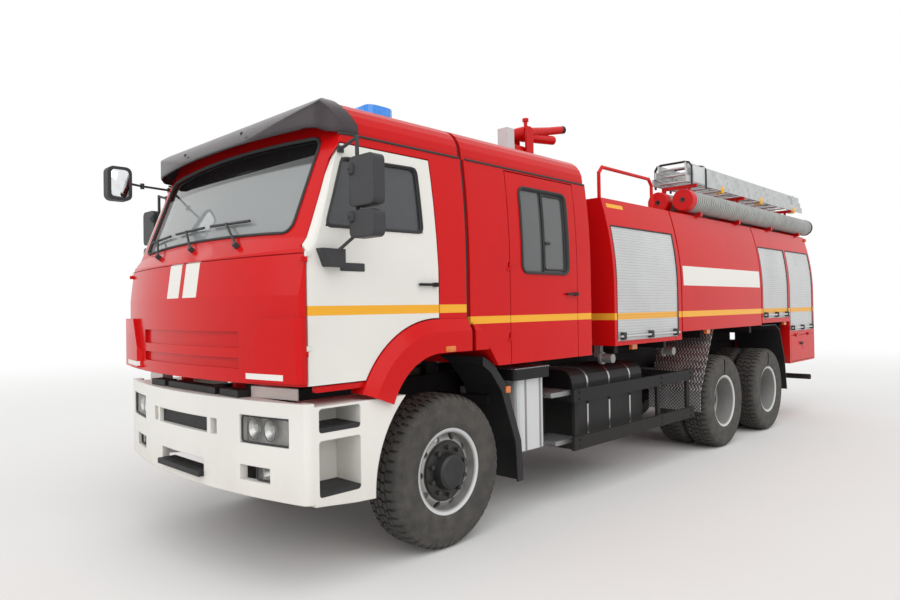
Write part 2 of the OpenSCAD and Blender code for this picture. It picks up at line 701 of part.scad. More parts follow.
// Half width of the walkway well
well_y = body_half_w - 290;
case_ys = [1105, 805];
case_z = 2862;
case_front_x = -3880;
case_rear_x = case_front_x - case_len;
cradle_xs = [-4250, -5400, -6550, -7750];
ladder_y = 800;
ladder_half_w = 215;
ladder_z0 = 3120;
ladder_h = 250;
rack_xs = [-4420, -5900, -7800];
module roof_rails() {
  color(red) {
    both_sides() handrail(1090, -2150, -3180);
    both_sides() for (x = cradle_xs) difference() {
      union() {
        block([x - 25, 690, deck_z], [x + 25, well_y - 6, case_z - 40]);
        block([x - 25, well_y - 8, body_top_z], [x + 25, 1160, case_z - 40]);
      }
      for (y = case_ys) rod_x(y, case_z, case_d / 2 + seat_gap, x - 40, x + 40);
    }
    // Ladder rack over the left cases
    for (x = rack_xs) {
      block([x - 20, 600, deck_z], [x + 20, 640, ladder_z0 - seat_gap]);
      block([x - 20, 600, ladder_z0 - 40], [x + 20, 1040, ladder_z0 - seat_gap]);
      block([x - 20, 930, deck_z], [x + 20, well_y - 6, ladder_z0 - 20]);
    }
  }
}
module hose_cases() {
  color(silver) both_sides() for (y = case_ys) translate([0, y, case_z]) rotate([0, 90, 0])
    translate([0, 0, case_rear_x]) difference() {
      cylinder(r = case_d / 2, h = case_len);
      translate([0, 0, case_len - 60]) cylinder(r = 22, h = 80);
    }
}
// Three ladder sections nested on one another, each narrower
module ladder() {
  section_h = ladder_h / 3;
  color(silver) for (i = [0:2]) {
    half = ladder_half_w - i * 22;
    z0 = ladder_z0 + i * section_h;
    x1 = ladder_rear_x + ladder_len - i * 30;
    for (s = [-1, 1]) block([ladder_rear_x, ladder_y + s * half - 9, z0], [x1, ladder_y + s * half + 9, z0 + section_h - 2]);
    for (k = [0:11]) rod_y(ladder_rear_x + 180 + k * 345, z0 + section_h / 2, 14, ladder_y - half, ladder_y + half);
  }
}
// The lower section's stiles are joined to the next by these cleats
module ladder_cleats() {
  for (x = [ladder_rear_x + 400, ladder_rear_x + ladder_len - 500], s = [-1, 1])
    translate([x, ladder_y + s * (ladder_half_w - 22) - 31, ladder_z0 + 10])
      cube([40, 62, ladder_h - 22]);
}

// Water monitor: pedestal, turning head with its drive box, and barrel
monitor_x = -2400;
monitor_z = 3290;
tilt_z = 3560;
module monitor_base() {
  color(red) {
    translate([monitor_x, 0, deck_z]) cylinder(r = 130, h = 24);
    translate([monitor_x, 0, deck_z]) cylinder(r = 62, h = monitor_z - deck_z - 30);
    translate([monitor_x, 0, monitor_z - 54]) cylinder(r = 95, h = 54 - seat_gap);
  }
}
module monitor_head() {
  color(red) {
    translate([monitor_x, 0, monitor_z]) cylinder(r = 95, h = 40);
    translate([monitor_x, 0, monitor_z]) cylinder(r = 60, h = 110);
    for (s = [-1, 1]) {
      block([monitor_x - 60, s * 92 - 12, monitor_z + 20], [monitor_x + 60, s * 92 + 12, tilt_z]);
      rod_y(monitor_x, tilt_z, 60, s * 92 - 12, s * 92 + 12);
    }
    rod_y(monitor_x, tilt_z, 22, -100, 100);
    block([monitor_x - 60, -100, monitor_z + 20], [monitor_x + 60, 100, monitor_z + 60]);
    block([monitor_x + 50, -60, monitor_z + 20], [monitor_x + 250, 60, monitor_z + 110]);
    block([monitor_x + 220, -64, monitor_z + 20], [monitor_x + 340, 64, tilt_z]);
  }
}
module monitor_barrel() {
  color(red) difference() {
    union() {
      rod_y(monitor_x, tilt_z, 72, -73, 73);
      translate([monitor_x, 0, tilt_z]) rotate([0, -77, 0]) {
        cylinder(r1 = 62, r2 = 45, h = 500);
        cylinder(r = 45, h = 790);
      }
      translate([monitor_x, 0, tilt_z - 40]) rotate([0, -84, 0]) cylinder(r = 50, h = 560);
      translate([monitor_x - 60, 0, tilt_z + 40]) cylinder(r = 20, h = 130);
      translate([monitor_x - 60, 0, tilt_z + 140]) cylinder(r = 34, h = 34);
    }
    rod_y(monitor_x, tilt_z, 22.05, -120, 120);
    translate([monitor_x, 0, tilt_z]) rotate([0, -77, 0]) translate([0, 0, 520]) cylinder(r = 38, h = 300);
  }
}

// Chassis
rail_out_y = 432;
rail_z0 = 830;
rail_z1 = 1130;
rail_t = 9;
rail_front_x = 1120;
rail_rear_x = -7990;
crossmembers = [1050, -1750, -2700, -3700, -5320, -6750, -7900];
module frame() {
  color(black) {
    both_sides() {
      difference() {
        block([rail_rear_x, rail_out_y - 80, rail_z0], [rail_front_x, rail_out_y, rail_z1]);
        block([rail_rear_x - 5, rail_out_y - 90, rail_z0 + rail_t], [rail_front_x + 5, rail_out_y - rail_t, rail_z1 - rail_t]);
      }
      // Pivot brackets with the tilt pins
      block([rail_front_x - 60, rail_out_y - 9, 940], [pivot_x + 45, rail_out_y + 11, 1100]);
      rod_y(pivot_x, pivot_z, pivot_r, pivot_y - 40, rail_out_y + 5);
      // Sub-frame under the body and risers under the crew cab
      block([bay_4[0] + 60, rail_out_y - 70, rail_z1], [body_front_x - 30, rail_out_y - 10, bay_1[2] ]);
      for (x = [-560, -1600]) block([x - 60, rail_out_y - 70, rail_z1], [x + 60, rail_out_y - 10, cab_floor_z]);
      block([-100, rail_out_y - 70, rail_z1], [-20, rail_out_y - 10, cab_floor_z - 6]);
      // Underrun bar hangers
      block([-8045, rail_out_y - 10, 520], [-7940, rail_out_y + 4, 880]);
    }
    for (x = crossmembers) block([x - 35, -rail_out_y + 5, rail_z0 + 40], [x + 35, rail_out_y - 5, rail_z1 - 40]);
    rod_y(-8000, 535, 40, -1200, 1200);
    // Outriggers that carry the body bays
    for (x = [-2300, -3300]) block([x - 30, -1150, 1230], [x + 30, 1150, bay_1[2]]);
    block([-3650, -1150, 1300], [-3590, 1150, bay_2[2]]);
    for (x = [-4200, -5700]) block([x - 30, -1150, 1300], [x + 30, 1150, bay_2[2]]);
    block([-6860, -1150, 1300], [-6800, 1150, bay_3[2]]);
    // Rear tow plate with its pin hole
    difference() {
      block([rail_rear_x - 160, -110, 905], [rail_rear_x + 180, 110, 965]);
      translate([rail_rear_x - 90, 0, 880]) cylinder(r = 20, h = 110);
    }
  }
}
module leaf_spring(x, y, z, half, rise, t) {
  along_y(y - 40, y + 40) polygon(concat(
    [for (i = [-6:6]) [x + half * i / 6, z + rise * i * i / 36 + t * (1 - abs(i) / 8)]],
    [for (i = [6:-1:-6]) [x + half * i / 6, z + rise * i * i / 36]]));
}
fork_eye_r = 50;
module axles() {
  color(black) {
    // Front beam between the kingpins
    block([-55, -kingpin_y + 70, wheel_z - 120], [55, kingpin_y - 70, wheel_z - 20]);
    both_sides() {
      // Fork with two round eyes for the kingpin
      for (z = [[-120, -92], [62, 85]]) translate([0, 0, wheel_z + z[0]]) linear_extrude(z[1] - z[0]) {
        translate([-fork_eye_r, kingpin_y - 75]) square([2 * fork_eye_r, 75]);
        translate([0, kingpin_y]) circle(r = fork_eye_r);
      }
      translate([0, kingpin_y, wheel_z - 120]) cylinder(r = 22, h = 205);
      block([-50, kingpin_y - 125, wheel_z - 120], [50, kingpin_y - 75, wheel_z + 85]);
      leaf_spring(0, rail_out_y + 10, wheel_z - 20, 800, 210, 100);
      for (x = [-800, 790]) block([x - 30, rail_out_y - 20, wheel_z + 170], [x + 30, rail_out_y + 50, rail_z0]);
    }
    rod_x(0, 700, 55, rear_axle_x + 100, mid_axle_x - 100);
    for (x = [mid_axle_x, rear_axle_x]) {
      rod_y(x, wheel_z, 70, -hub_in_y, hub_in_y);
      both_sides() {
        rod_y(x, wheel_z, 190, hub_in_y - 120, rear_track / 2 - 14 - 6);
        rod_y(x, wheel_z, spindle_r, hub_in_y, rear_track / 2 + 110);
      }
      translate([x, 0, wheel_z]) sphere(r = 215);
    }
    both_sides() {
      translate([(mid_axle_x + rear_axle_x) / 2, 0, 0]) {
        leaf = tandem / 2;
        along_y(rail_out_y + 30, rail_out_y + 120) polygon(concat(
          [for (i = [-6:6]) [leaf * i / 6, wheel_z + 170 - 100 * i * i / 36]],
          [for (i = [6:-1:-6]) [leaf * i / 6, wheel_z + 170 - 100 * i * i / 36 - 110 * (1 - abs(i) / 9)]]));
        rod_y(0, wheel_z + 120, 95, rail_out_y - 40, rail_out_y + 30);
        block([-130, rail_out_y, wheel_z + 120], [130, rail_out_y + 25, rail_z0 + 120]);
      }
    }
  }
}
module driveline() {
  color(grey) {
    block([-720, -340, 640], [780, 340, 1190]);
    block([-1560, -230, 640], [-720, 230, 1060]);
    rod_x(0, 800, 60, -4420, -1560);
    bar([-4300, 0, 800], [mid_axle_x + 225, 0, 700], 55);
    block([-100, -rail_out_y + rail_t + seat_gap, rail_z0 + rail_t + seat_gap], [100, rail_out_y - rail_t - seat_gap, 940]);
  }
}

// Front bumper with its lamp pockets and air openings
bumper_z0 = 575;
bumper_z1 = 1150;
bumper_x = 1400;
module bumper_plan(g) {
  intersection() {
    translate([bumper_x - 4700, 0]) circle(r = 4700 - g, $fn = 480);
    polygon(mirror_y(concat([[1600, 800 - g]], arc(1190, 1185, 60 - g, 20, 90, 4), [[900, 1245 - g]])));
  }
}
module front_lamp_pocket(lo, hi, g = 0) {
  block([1181 + g, lo[0] + g, lo[1] + g], [1500, hi[0] - g, hi[1] - g]);
}
lamp_lo = [700, 890];
lamp_hi = [1112, 1060];
fog_lo = [700, 668];
fog_hi = [962, 758];
fascia_t = 50;
plate_t = 20;
upper_hole = [355, 915, 1012];
side_hole = [395, 465];
lower_hole = [312, 630, 744];
shelf_y = 650;
module lug_slots() {
  both_sides() block([1190, pivot_y - lug_room, bumper_z1 - 200], [1328, pivot_y + lug_room, 1300]);
}
module bumper() {
  color(white) {
    difference() {
      translate([0, 0, bumper_z0]) linear_extrude(bumper_z1 - bumper_z0) bumper_plan(0);
      translate([0, 0, bumper_z0 - 10]) linear_extrude(bumper_z1 - bumper_z0 + 10 - plate_t) intersection() {
        bumper_plan(fascia_t);
        translate([0, -1150]) square([1600, 2300]);
      }
      both_sides() front_lamp_pocket(lamp_lo, lamp_hi);
      both_sides() front_lamp_pocket(fog_lo, fog_hi);
      block([1200, -upper_hole[0], upper_hole[1]], [1500, upper_hole[0], upper_hole[2]]);
      both_sides() block([1200, side_hole[0], upper_hole[1]], [1500, side_hole[1], upper_hole[2]]);
      block([1200, -lower_hole[0], lower_hole[1]], [1500, lower_hole[0], lower_hole[2]]);
      block([800, -1500, 400], [1180, 1500, 1300]);
      block([1100, -1150, bumper_z1 - plate_t - 1], [1230, 1150, 1300]);
      lug_slots();
    }
    // Raised shelves beside the middle tread
    both_sides() translate([-95, 0, bumper_z1 - 1]) linear_extrude(70) intersection() {
      bumper_plan(20);
      translate([1258, shelf_y]) square([400, 480]);
    }
    both_sides() step_block();
    // Stays that hold the bumper to the frame
    both_sides() block([1060, rail_out_y + 11 + seat_gap, 960], [1345, rail_out_y + 40, 1060]);
    both_sides() block([1100, rail_out_y + 15, 950], [1181, 1240, 975]);
  }
}
// Entry steps beside the bumper, open to the side
step_zs = [585, 955];
tread_t = 28;
module step_block() {
  difference() {
    along_y(940, 1245) difference() {
      polygon([[1181, 560], [1181, 1130], [440, 1130], [680, 517], [900, 530]]);
      translate([-70, 538]) circle(r = 806, $fn = 480);
    }
    // Two recesses above the treads
    for (z = [step_zs, [step_zs[1], 1140]])
      along_y(1000, 1300) round_rect([850, z[0] + 20], [1150, z[1] - 25], 20);
    along_y(900, 985) polygon([[400, 400], [400, 1100], [1140, 1100], [1140, 400]]);
  }
}
module front_treads() {
  color([0.16, 0.13, 0.13]) {
    both_sides() for (z = step_zs) intersection() {
      along_y(1000 + seat_gap, 1242) round_rect([850 + seat_gap, z + 20 + seat_gap], [1150 - seat_gap, z + 220], 20);
      block([840, 990, z], [1160, 1250, z + 20 + tread_t]);
    }
    // Middle tread, open where the cab's lugs swing through
    difference() {
      block([1236, -shelf_y + 10, bumper_z1 + seat_gap], [1326, shelf_y - 10, 1195]);
      lug_slots();
    }
    block([1300, -lower_hole[0] + seat_gap, lower_hole[1] + seat_gap], [1425, lower_hole[0] - seat_gap, lower_hole[1] + 36]);
    block([1352, -upper_hole[0] + seat_gap, upper_hole[1] + seat_gap], [1360, upper_hole[0] - seat_gap, upper_hole[2] - seat_gap]);
  }
}
module front_lamps() {
  color(glass) both_sides() {
    intersection() {
      translate([0, 0, 500]) linear_extrude(700) difference() { bumper_plan(16); bumper_plan(60); }
      front_lamp_pocket(lamp_lo, lamp_hi, seat_gap);
    }
    intersection() {
      translate([0, 0, 500]) linear_extrude(700) difference() { bumper_plan(30); bumper_plan(70); }
      front_lamp_pocket([fog_hi[0] - 150, fog_lo[1]], fog_hi, seat_gap);
    }
  }
}

// Tanks, steps and guards along the sides
module fuel_tank() {
  color(black) {
    both_sides() {
      along_x(-2970, -1700) round_rect([490, 410], [1050, 1105], 120);
      for (x = [-1980, -2700]) block([x - 30, rail_out_y, 860], [x + 30, 500, 1000]);
    }
  }
}
module side_tank() {
  color(silver) both_sides() {
    translate([0, 0, 535]) linear_extrude(575) round_rect([-1170, 520], [-810, 1150], 70);
    block([-980, rail_out_y, 860], [-900, 530, 1000]);
  }
}
module access_steps() {
  color(silver) rear_ladder();
  color(silver) both_sides() {
    block([-1550, 780, 915], [-1240, 1150, 955]);
    block([-1620, 850 + seat_gap, 500], [-1310, guard_y - 30 - seat_gap, 540]);
    block([-4110, rail_out_y, 860], [-4070, 610, 930]);
    // Sloping plate in front of the twin wheels
    along_y(600, 1225) polygon([[-3967, 480], [-3977, 700], [-4350, 1394], [-4358, 1394], [-3985, 698], [-3975, 480]]);
    block([-1160, 700, 1195], [-705, 1195, 1203]);
  }
}
guard_y = 1170;
module side_guards() {
  color([0.12, 0.12, 0.13]) both_sides() {
    for (z = [852, 440]) block([-3860, guard_y, z], [-1500, guard_y + 34, z + 113]);
    for (x = [-1590, -3100, -3780]) {
      block([x - 30, guard_y - 30, 440], [x + 30, guard_y, 965]);
      block([x - 30, rail_out_y, 880], [x + 30, guard_y - 25, 940]);
    }
    // Brackets of the crew steps
    for (z = [860, 445]) block([-1560, 800, z], [-1520, guard_y - 20, z + 55]);
    block([-1560, 800, 445], [-1520, 850, 915]);
    // Step box over the side tank
    translate([0, 0, 1110 + seat_gap]) linear_extrude(84.7) round_rect([-1165, 690], [-700, 1200], 30);
    block([-960, rail_out_y, 1110 + seat_gap], [-900, 720, 1130]);
  }
}
module mudguards() {
  color(black) both_sides() {
    along_y(760, 1200) polygon([[-330, 1310], [-440, 1250], [-585, 1085], [-755, 640], [-775, 330],
      [-789, 330], [-769, 644], [-598, 1092], [-450, 1262], [-330, 1324]]);
    along_y(1186, 1200) polygon([[-330, 1324], [-330, 1260], [-420, 1200], [-540, 1050], [-700, 640],
      [-720, 330], [-789, 330], [-769, 644], [-598, 1092], [-450, 1262]]);
    block([-640, rail_out_y, 920], [-600, 1000, 990]);
    // Guard behind the last wheels
    along_y(600, 1225) polygon([[-5900, 1380], [-6420, 1380], [-6590, 1300], [-6760, 900], [-6835, 460],
      [-6849, 460], [-6774, 904], [-6600, 1310], [-6424, 1394], [-5900, 1394]]);
    block([-6790, rail_out_y, 860], [-6750, 700, 930]);
  }
}

// Steps up the back, lamps and hose couplings
module rear_ladder() {
  x = body_rear_x - 90;
  for (y = [700, 1000]) {
    bar([x, y, 900], [x, y, 2560], 16);
    for (z = [1010, 2450]) rod_x(y, z, 12, x, body_rear_x);
  }
  for (i = [0:5]) rod_y(x, 1060 + i * 280, 13, 700, 1000);
}
module marker_lamps() {
  color(amber) both_sides() {
    // Under the body and on the flare: [front end, underside, outer face]
    for (m = [[-2480, bay_1[2] - 50], [-4180, bay_2[2] - 50], [-6790, bay_3[2] - 50]])
      block([m[0] - 90, body_half_w - 60, m[1]], [m[0], body_half_w - 25, m[1] + 50]);
    block([-8060 - 30, 600, 850], [-8060, 1100, 960]);
  }
}
coupling_xs = [-2180, -3420];
coupling_r = 42;
module couplings() {
  color(silver) both_sides() for (x = coupling_xs) {
    rod_y(x, 1190, coupling_r, 1060, 1190);
    rod_y(x, 1190, 58, 1060, 1085);
    block([x - 25, 1000, 1200], [x + 25, 1070, bay_1[2]]);
  }
}

// Wheels: profiles in [radius, distance outward from the wheel's centre plane]
hub_in_y = 760;
spindle_r = 50;
bore_r = spindle_r + 0.05;
module spun(x, y) { translate([x, y, wheel_z]) rotate([-90, 0, 0]) rotate_extrude($fn = 96) children(); }
module tyre(x, y) {
  h = tyre_w / 2;
  spun(x, y) polygon(concat([[rim_r - 19, -128], [rim_r - 1.5, -135.2], [rim_r + 8, -146], [rim_r + 60, -h + 4]],
    [[tyre_r - 90, -h], [tyre_r - 30, -h + 12], [tyre_r - 6, -h + 36], [tyre_r, -h + 60], [tyre_r, h - 60]],
    [[tyre_r - 6, h - 36], [tyre_r - 30, h - 12], [tyre_r - 90, h], [rim_r + 60, h - 4]],
    [[rim_r + 8, 146], [rim_r - 1.5, 135.2], [rim_r - 19, 128]]));
}
bolt_r = 167.5;
// Barrel of a rim with its two flanges, from inner to outer edge
function barrel() = [[rim_r - 33, -131], [rim_r - 33, 131], [rim_r - 26, 134], [rim_r - 2, 143], [rim_r - 2, 136],
  [rim_r - 19.3, 129], [rim_r - 19.3, -129], [rim_r - 2, -136], [rim_r - 2, -143], [rim_r - 26, -134]];
module rim_front(x, y) {
  difference() {
    union() {
      spun(x, y) polygon(barrel());
      spun(x, y) polygon([[100, 100], [rim_r - 120, 104], [rim_r - 80, 98], [rim_r - 24, 60], [rim_r - 24, 30],
        [rim_r - 40, 44], [rim_r - 84, 80], [rim_r - 118, 86], [100, 84]]);
      spun(x, y) polygon([[bore_r, 30], [120, 30], [130, 84], [200, 86], [200, 110], [130, 112], [118, 170], [100, 184],
        [0, 184], [0, 130], [bore_r, 130]]);
    }
    for (a = [18:36:342]) translate([x, y, wheel_z]) rotate([0, a, 0]) translate([0, 20, rim_r - 62])
      rotate([-90, 0, 0]) cylinder(r = 26, h = 120);
  }
  for (a = [0:36:324]) translate([x, y, wheel_z]) rotate([0, a, 0]) translate([0, 110, bolt_r])
    rotate([-90, 0, 0]) cylinder(r = 16, h = 36, $fn = 6);
}
module rim_twin(x, y) {
  for (s = [-1, 1]) spun(x, y + s * twin_pitch / 2) polygon(barrel());
  spun(x, y) polygon([[bore_r, -14], [210, -14], [240, -60], [rim_r - 24, -130], [rim_r - 24, -105], [256, -60],
    [222, 14], [256, 60], [rim_r - 24, 105], [rim_r - 24, 130], [240, 60], [210, 14], [205, 20], [125, 26],
    [115, 150], [95, 168], [0, 168], [0, 130], [bore_r, 130]]);
  for (a = [0:36:324]) translate([x, y, wheel_z]) rotate([0, a, 0]) translate([0, 14, bolt_r])
    rotate([-90, 0, 0]) cylinder(r = 16, h = 42, $fn = 6);
}
// Steering knuckle with its spindle
module knuckle() {
  color(black) difference() {
    union() {
      translate([0, kingpin_y, wheel_z - 92 + 5]) cylinder(r = 48, h = 144);
      rod_y(0, wheel_z, spindle_r, kingpin_y + 20, front_track / 2 + 110);
      rod_y(0, wheel_z, 150, kingpin_y + 62, kingpin_y + 150);
    }
    translate([0, kingpin_y, wheel_z - 200]) cylinder(r = 22.05, h = 400);
  }
}

module place() { translate([-origin_x, 0, 0]) children(); }
module right() { mirror([0, 1, 0]) children(); }
module part(name) { place() children(); }

part("frame") frame();
part("axles") axles();
part("driveline") driveline();
part("bumper") bumper();
part("front_treads") front_treads();
part("front_lamps") front_lamps();
part("fuel_tank") fuel_tank();
part("side_tank") side_tank();
part("access_steps") access_steps();
part("side_guards") side_guards();
part("mudguards") mudguards();
part("crew_cab") crew_cab();
part("cab_seal") cab_seal();
part("crew_bench") crew_bench();
part("body_shell") { body_shell(); color(red) both_sides() locker_pins(); }
part("shutters") shutters();
part("roof_rails") roof_rails();
part("hose_cases") hose_cases();
part("ladder") { ladder(); color(silver) ladder_cleats(); }
part("monitor_base") monitor_base();
part("marker_lamps") marker_lamps();
part("couplings") couplings();
part("cab_shell") cab_shell();
part("front_panel") front_panel();
part("windscreen") windscreen();
part("cab_interior") cab_interior();
part("cab_seats") cab_seats();
part("wheel_flares") wheel_flares();
part("sun_visor") sun_visor();
part("light_bar") light_bar();
part("cab_fittings") cab_fittings();
part("cab_door_left") color(white) cab_door();
part("cab_door_right") color(white) right() cab_door();
part("cab_glass_left") color(glass) cab_glass();
part("cab_glass_right") color(glass) right() cab_glass();
part("mirror_left") door_mirror();
part("mirror_right") right() door_mirror();
part("crew_door_left") color(red) crew_door();
part("crew_door_right") color(red) right() crew_door();
part("crew_glass_left") color(glass) crew_glass();
part("crew_glass_right") color(glass) right() crew_glass();
part("locker_lid_left") color(red) locker_lid();
part("locker_lid_right") color(red) right() locker_lid();
part("monitor_head") monitor_head();
part("monitor_barrel") monitor_barrel();
part("knuckle_left") knuckle();
part("knuckle_right") right() knuckle();
part("tyre_front_left") color(black) tyre(0, front_track / 2);
part("tyre_front_right") color(black) right() tyre(0, front_track / 2);
part("rim_front_left") color(silver) rim_front(0, front_track / 2);
part("rim_front_right") color(silver) right() rim_front(0, front_track / 2);
part("tyre_mid_left") color(black) twin_tyres(mid_axle_x);
part("tyre_mid_right") color(black) right() twin_tyres(mid_axle_x);
part("rim_mid_left") color(silver) rim_twin(mid_axle_x, rear_track / 2);
part("rim_mid_right") color(silver) right() rim_twin(mid_axle_x, rear_track / 2);
part("tyre_rear_left") color(black) twin_tyres(rear_axle_x);
part("tyre_rear_right") color(black) right() twin_tyres(rear_axle_x);
part("rim_rear_left") color(silver) rim_twin(rear_axle_x, rear_track / 2);
part("rim_rear_right") color(silver) right() rim_twin(rear_axle_x, rear_track / 2);
module twin_tyres(x) { for (s = [-1, 1]) tyre(x, rear_track / 2 + s * twin_pitch / 2); }
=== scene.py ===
"""Dresses a three-axle fire tender: finishes, trim, tyre treads, seats, lamps and a studio.

All sizes are in metres in the part's own frame: x forward, y to the driver's left, z up.
"""
from __future__ import annotations

import logging
import math
from dataclasses import dataclass, field
from enum import Enum
from typing import Any, Iterable, Sequence

import bmesh
import bpy
from mathutils import Matrix, Vector


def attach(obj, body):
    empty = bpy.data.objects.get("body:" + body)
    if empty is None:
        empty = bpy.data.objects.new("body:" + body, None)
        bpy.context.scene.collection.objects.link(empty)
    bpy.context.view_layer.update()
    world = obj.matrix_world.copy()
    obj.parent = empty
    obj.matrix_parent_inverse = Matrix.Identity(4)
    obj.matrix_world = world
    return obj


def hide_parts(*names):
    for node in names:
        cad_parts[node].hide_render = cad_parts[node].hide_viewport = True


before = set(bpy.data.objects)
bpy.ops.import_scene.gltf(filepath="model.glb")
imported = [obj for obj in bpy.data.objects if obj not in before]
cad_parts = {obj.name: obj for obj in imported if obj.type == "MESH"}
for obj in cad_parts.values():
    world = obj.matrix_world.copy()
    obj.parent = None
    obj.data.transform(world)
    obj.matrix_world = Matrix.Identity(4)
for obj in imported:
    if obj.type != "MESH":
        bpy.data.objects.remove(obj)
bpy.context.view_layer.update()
LOG = logging.getLogger("tender")
AXLE_X = 3.42
Colour = tuple[float, float, float]
Point = Sequence[float]
Pairs = Sequence[tuple[float, float]]
SIDES = ((1, "left"), (-1, "right"))
WELD = 1e-6


def at(x: float, y: float, z: float) -> Vector:
    """A point measured from the front axle and the ground, in the part's frame."""
    return Vector((x + AXLE_X, y, z))


class Axis(Enum):
    """A direction of the part's frame."""

    X = (1.0, 0.0, 0.0)
    Y = (0.0, 1.0, 0.0)
    Z = (0.0, 0.0, 1.0)


# Shader maths


class Sock:
    """A socket of a material's graph that takes part in sums."""

    def __init__(self, graph: "Graph", socket: bpy.types.NodeSocket) -> None:
        """Wraps a socket.

        Args:
            graph: the graph that the socket is in.
            socket: the output socket.
        """
        self.graph = graph
        self.socket = socket

    def _sum(self, operation: str, *values: Any) -> "Sock":
        """Adds one Math node."""
        return self.graph.node("ShaderNodeMath", {"operation": operation}, dict(enumerate(values)))

    def __add__(self, other: Any) -> "Sock":
        """This plus other."""
        return self._sum("ADD", self, other)

    def __radd__(self, other: Any) -> "Sock":
        """Other plus this."""
        return self._sum("ADD", other, self)

    def __sub__(self, other: Any) -> "Sock":
        """This less other."""
        return self._sum("SUBTRACT", self, other)

    def __rsub__(self, other: Any) -> "Sock":
        """Other less this."""
        return self._sum("SUBTRACT", other, self)

    def __mul__(self, other: Any) -> "Sock":
        """This times other."""
        return self._sum("MULTIPLY", self, other)

    def __rmul__(self, other: Any) -> "Sock":
        """Other times this."""
        return self._sum("MULTIPLY", other, self)

    def __truediv__(self, other: Any) -> "Sock":
        """This over other."""
        return self._sum("DIVIDE", self, other)

    def __pow__(self, other: Any) -> "Sock":
        """This to the power of other."""
        return self._sum("POWER", self, other)

    def __mod__(self, other: Any) -> "Sock":
        """This wrapped round at other, from zero up."""
        return self._sum("FLOORED_MODULO", self, other)

    def __gt__(self, other: Any) -> "Sock":
        """One where this is the larger."""
        return self._sum("GREATER_THAN", self, other)

    def __lt__(self, other: Any) -> "Sock":
        """One where this is the smaller."""
        return self._sum("LESS_THAN", self, other)

    def __and__(self, other: Any) -> "Sock":
        """The smaller of two masks."""
        return self._sum("MINIMUM", self, other)

    def __or__(self, other: Any) -> "Sock":
        """The larger of two masks."""
        return self._sum("MAXIMUM", self, other)

    def __abs__(self) -> "Sock":
        """This without its sign."""
        return self._sum("ABSOLUTE", self)

    def sine(self) -> "Sock":
        """The sine of this, in radians."""
        return self._sum("SINE", self)

    def root(self) -> "Sock":
        """The square root of this."""
        return self._sum("SQRT", self)

    def ramp(self, low: float, high: float, top: float = 1.0) -> "Sock":
        """Rises smoothly as this goes from low to high.

        Args:
            low: where the result is zero.
            high: where it reaches the top; it may lie below low.
            top: the highest result.

        Returns:
            The smoothed value.
        """
        names = {"Value": self, "From Min": low, "From Max": high, "To Max": top}
        return self.graph.node("ShaderNodeMapRange", {"interpolation_type": "SMOOTHSTEP"}, names)

    def within(self, low: float, high: float) -> "Sock":
        """One where this lies between two values, else zero."""
        return (self > low) & (self < high)


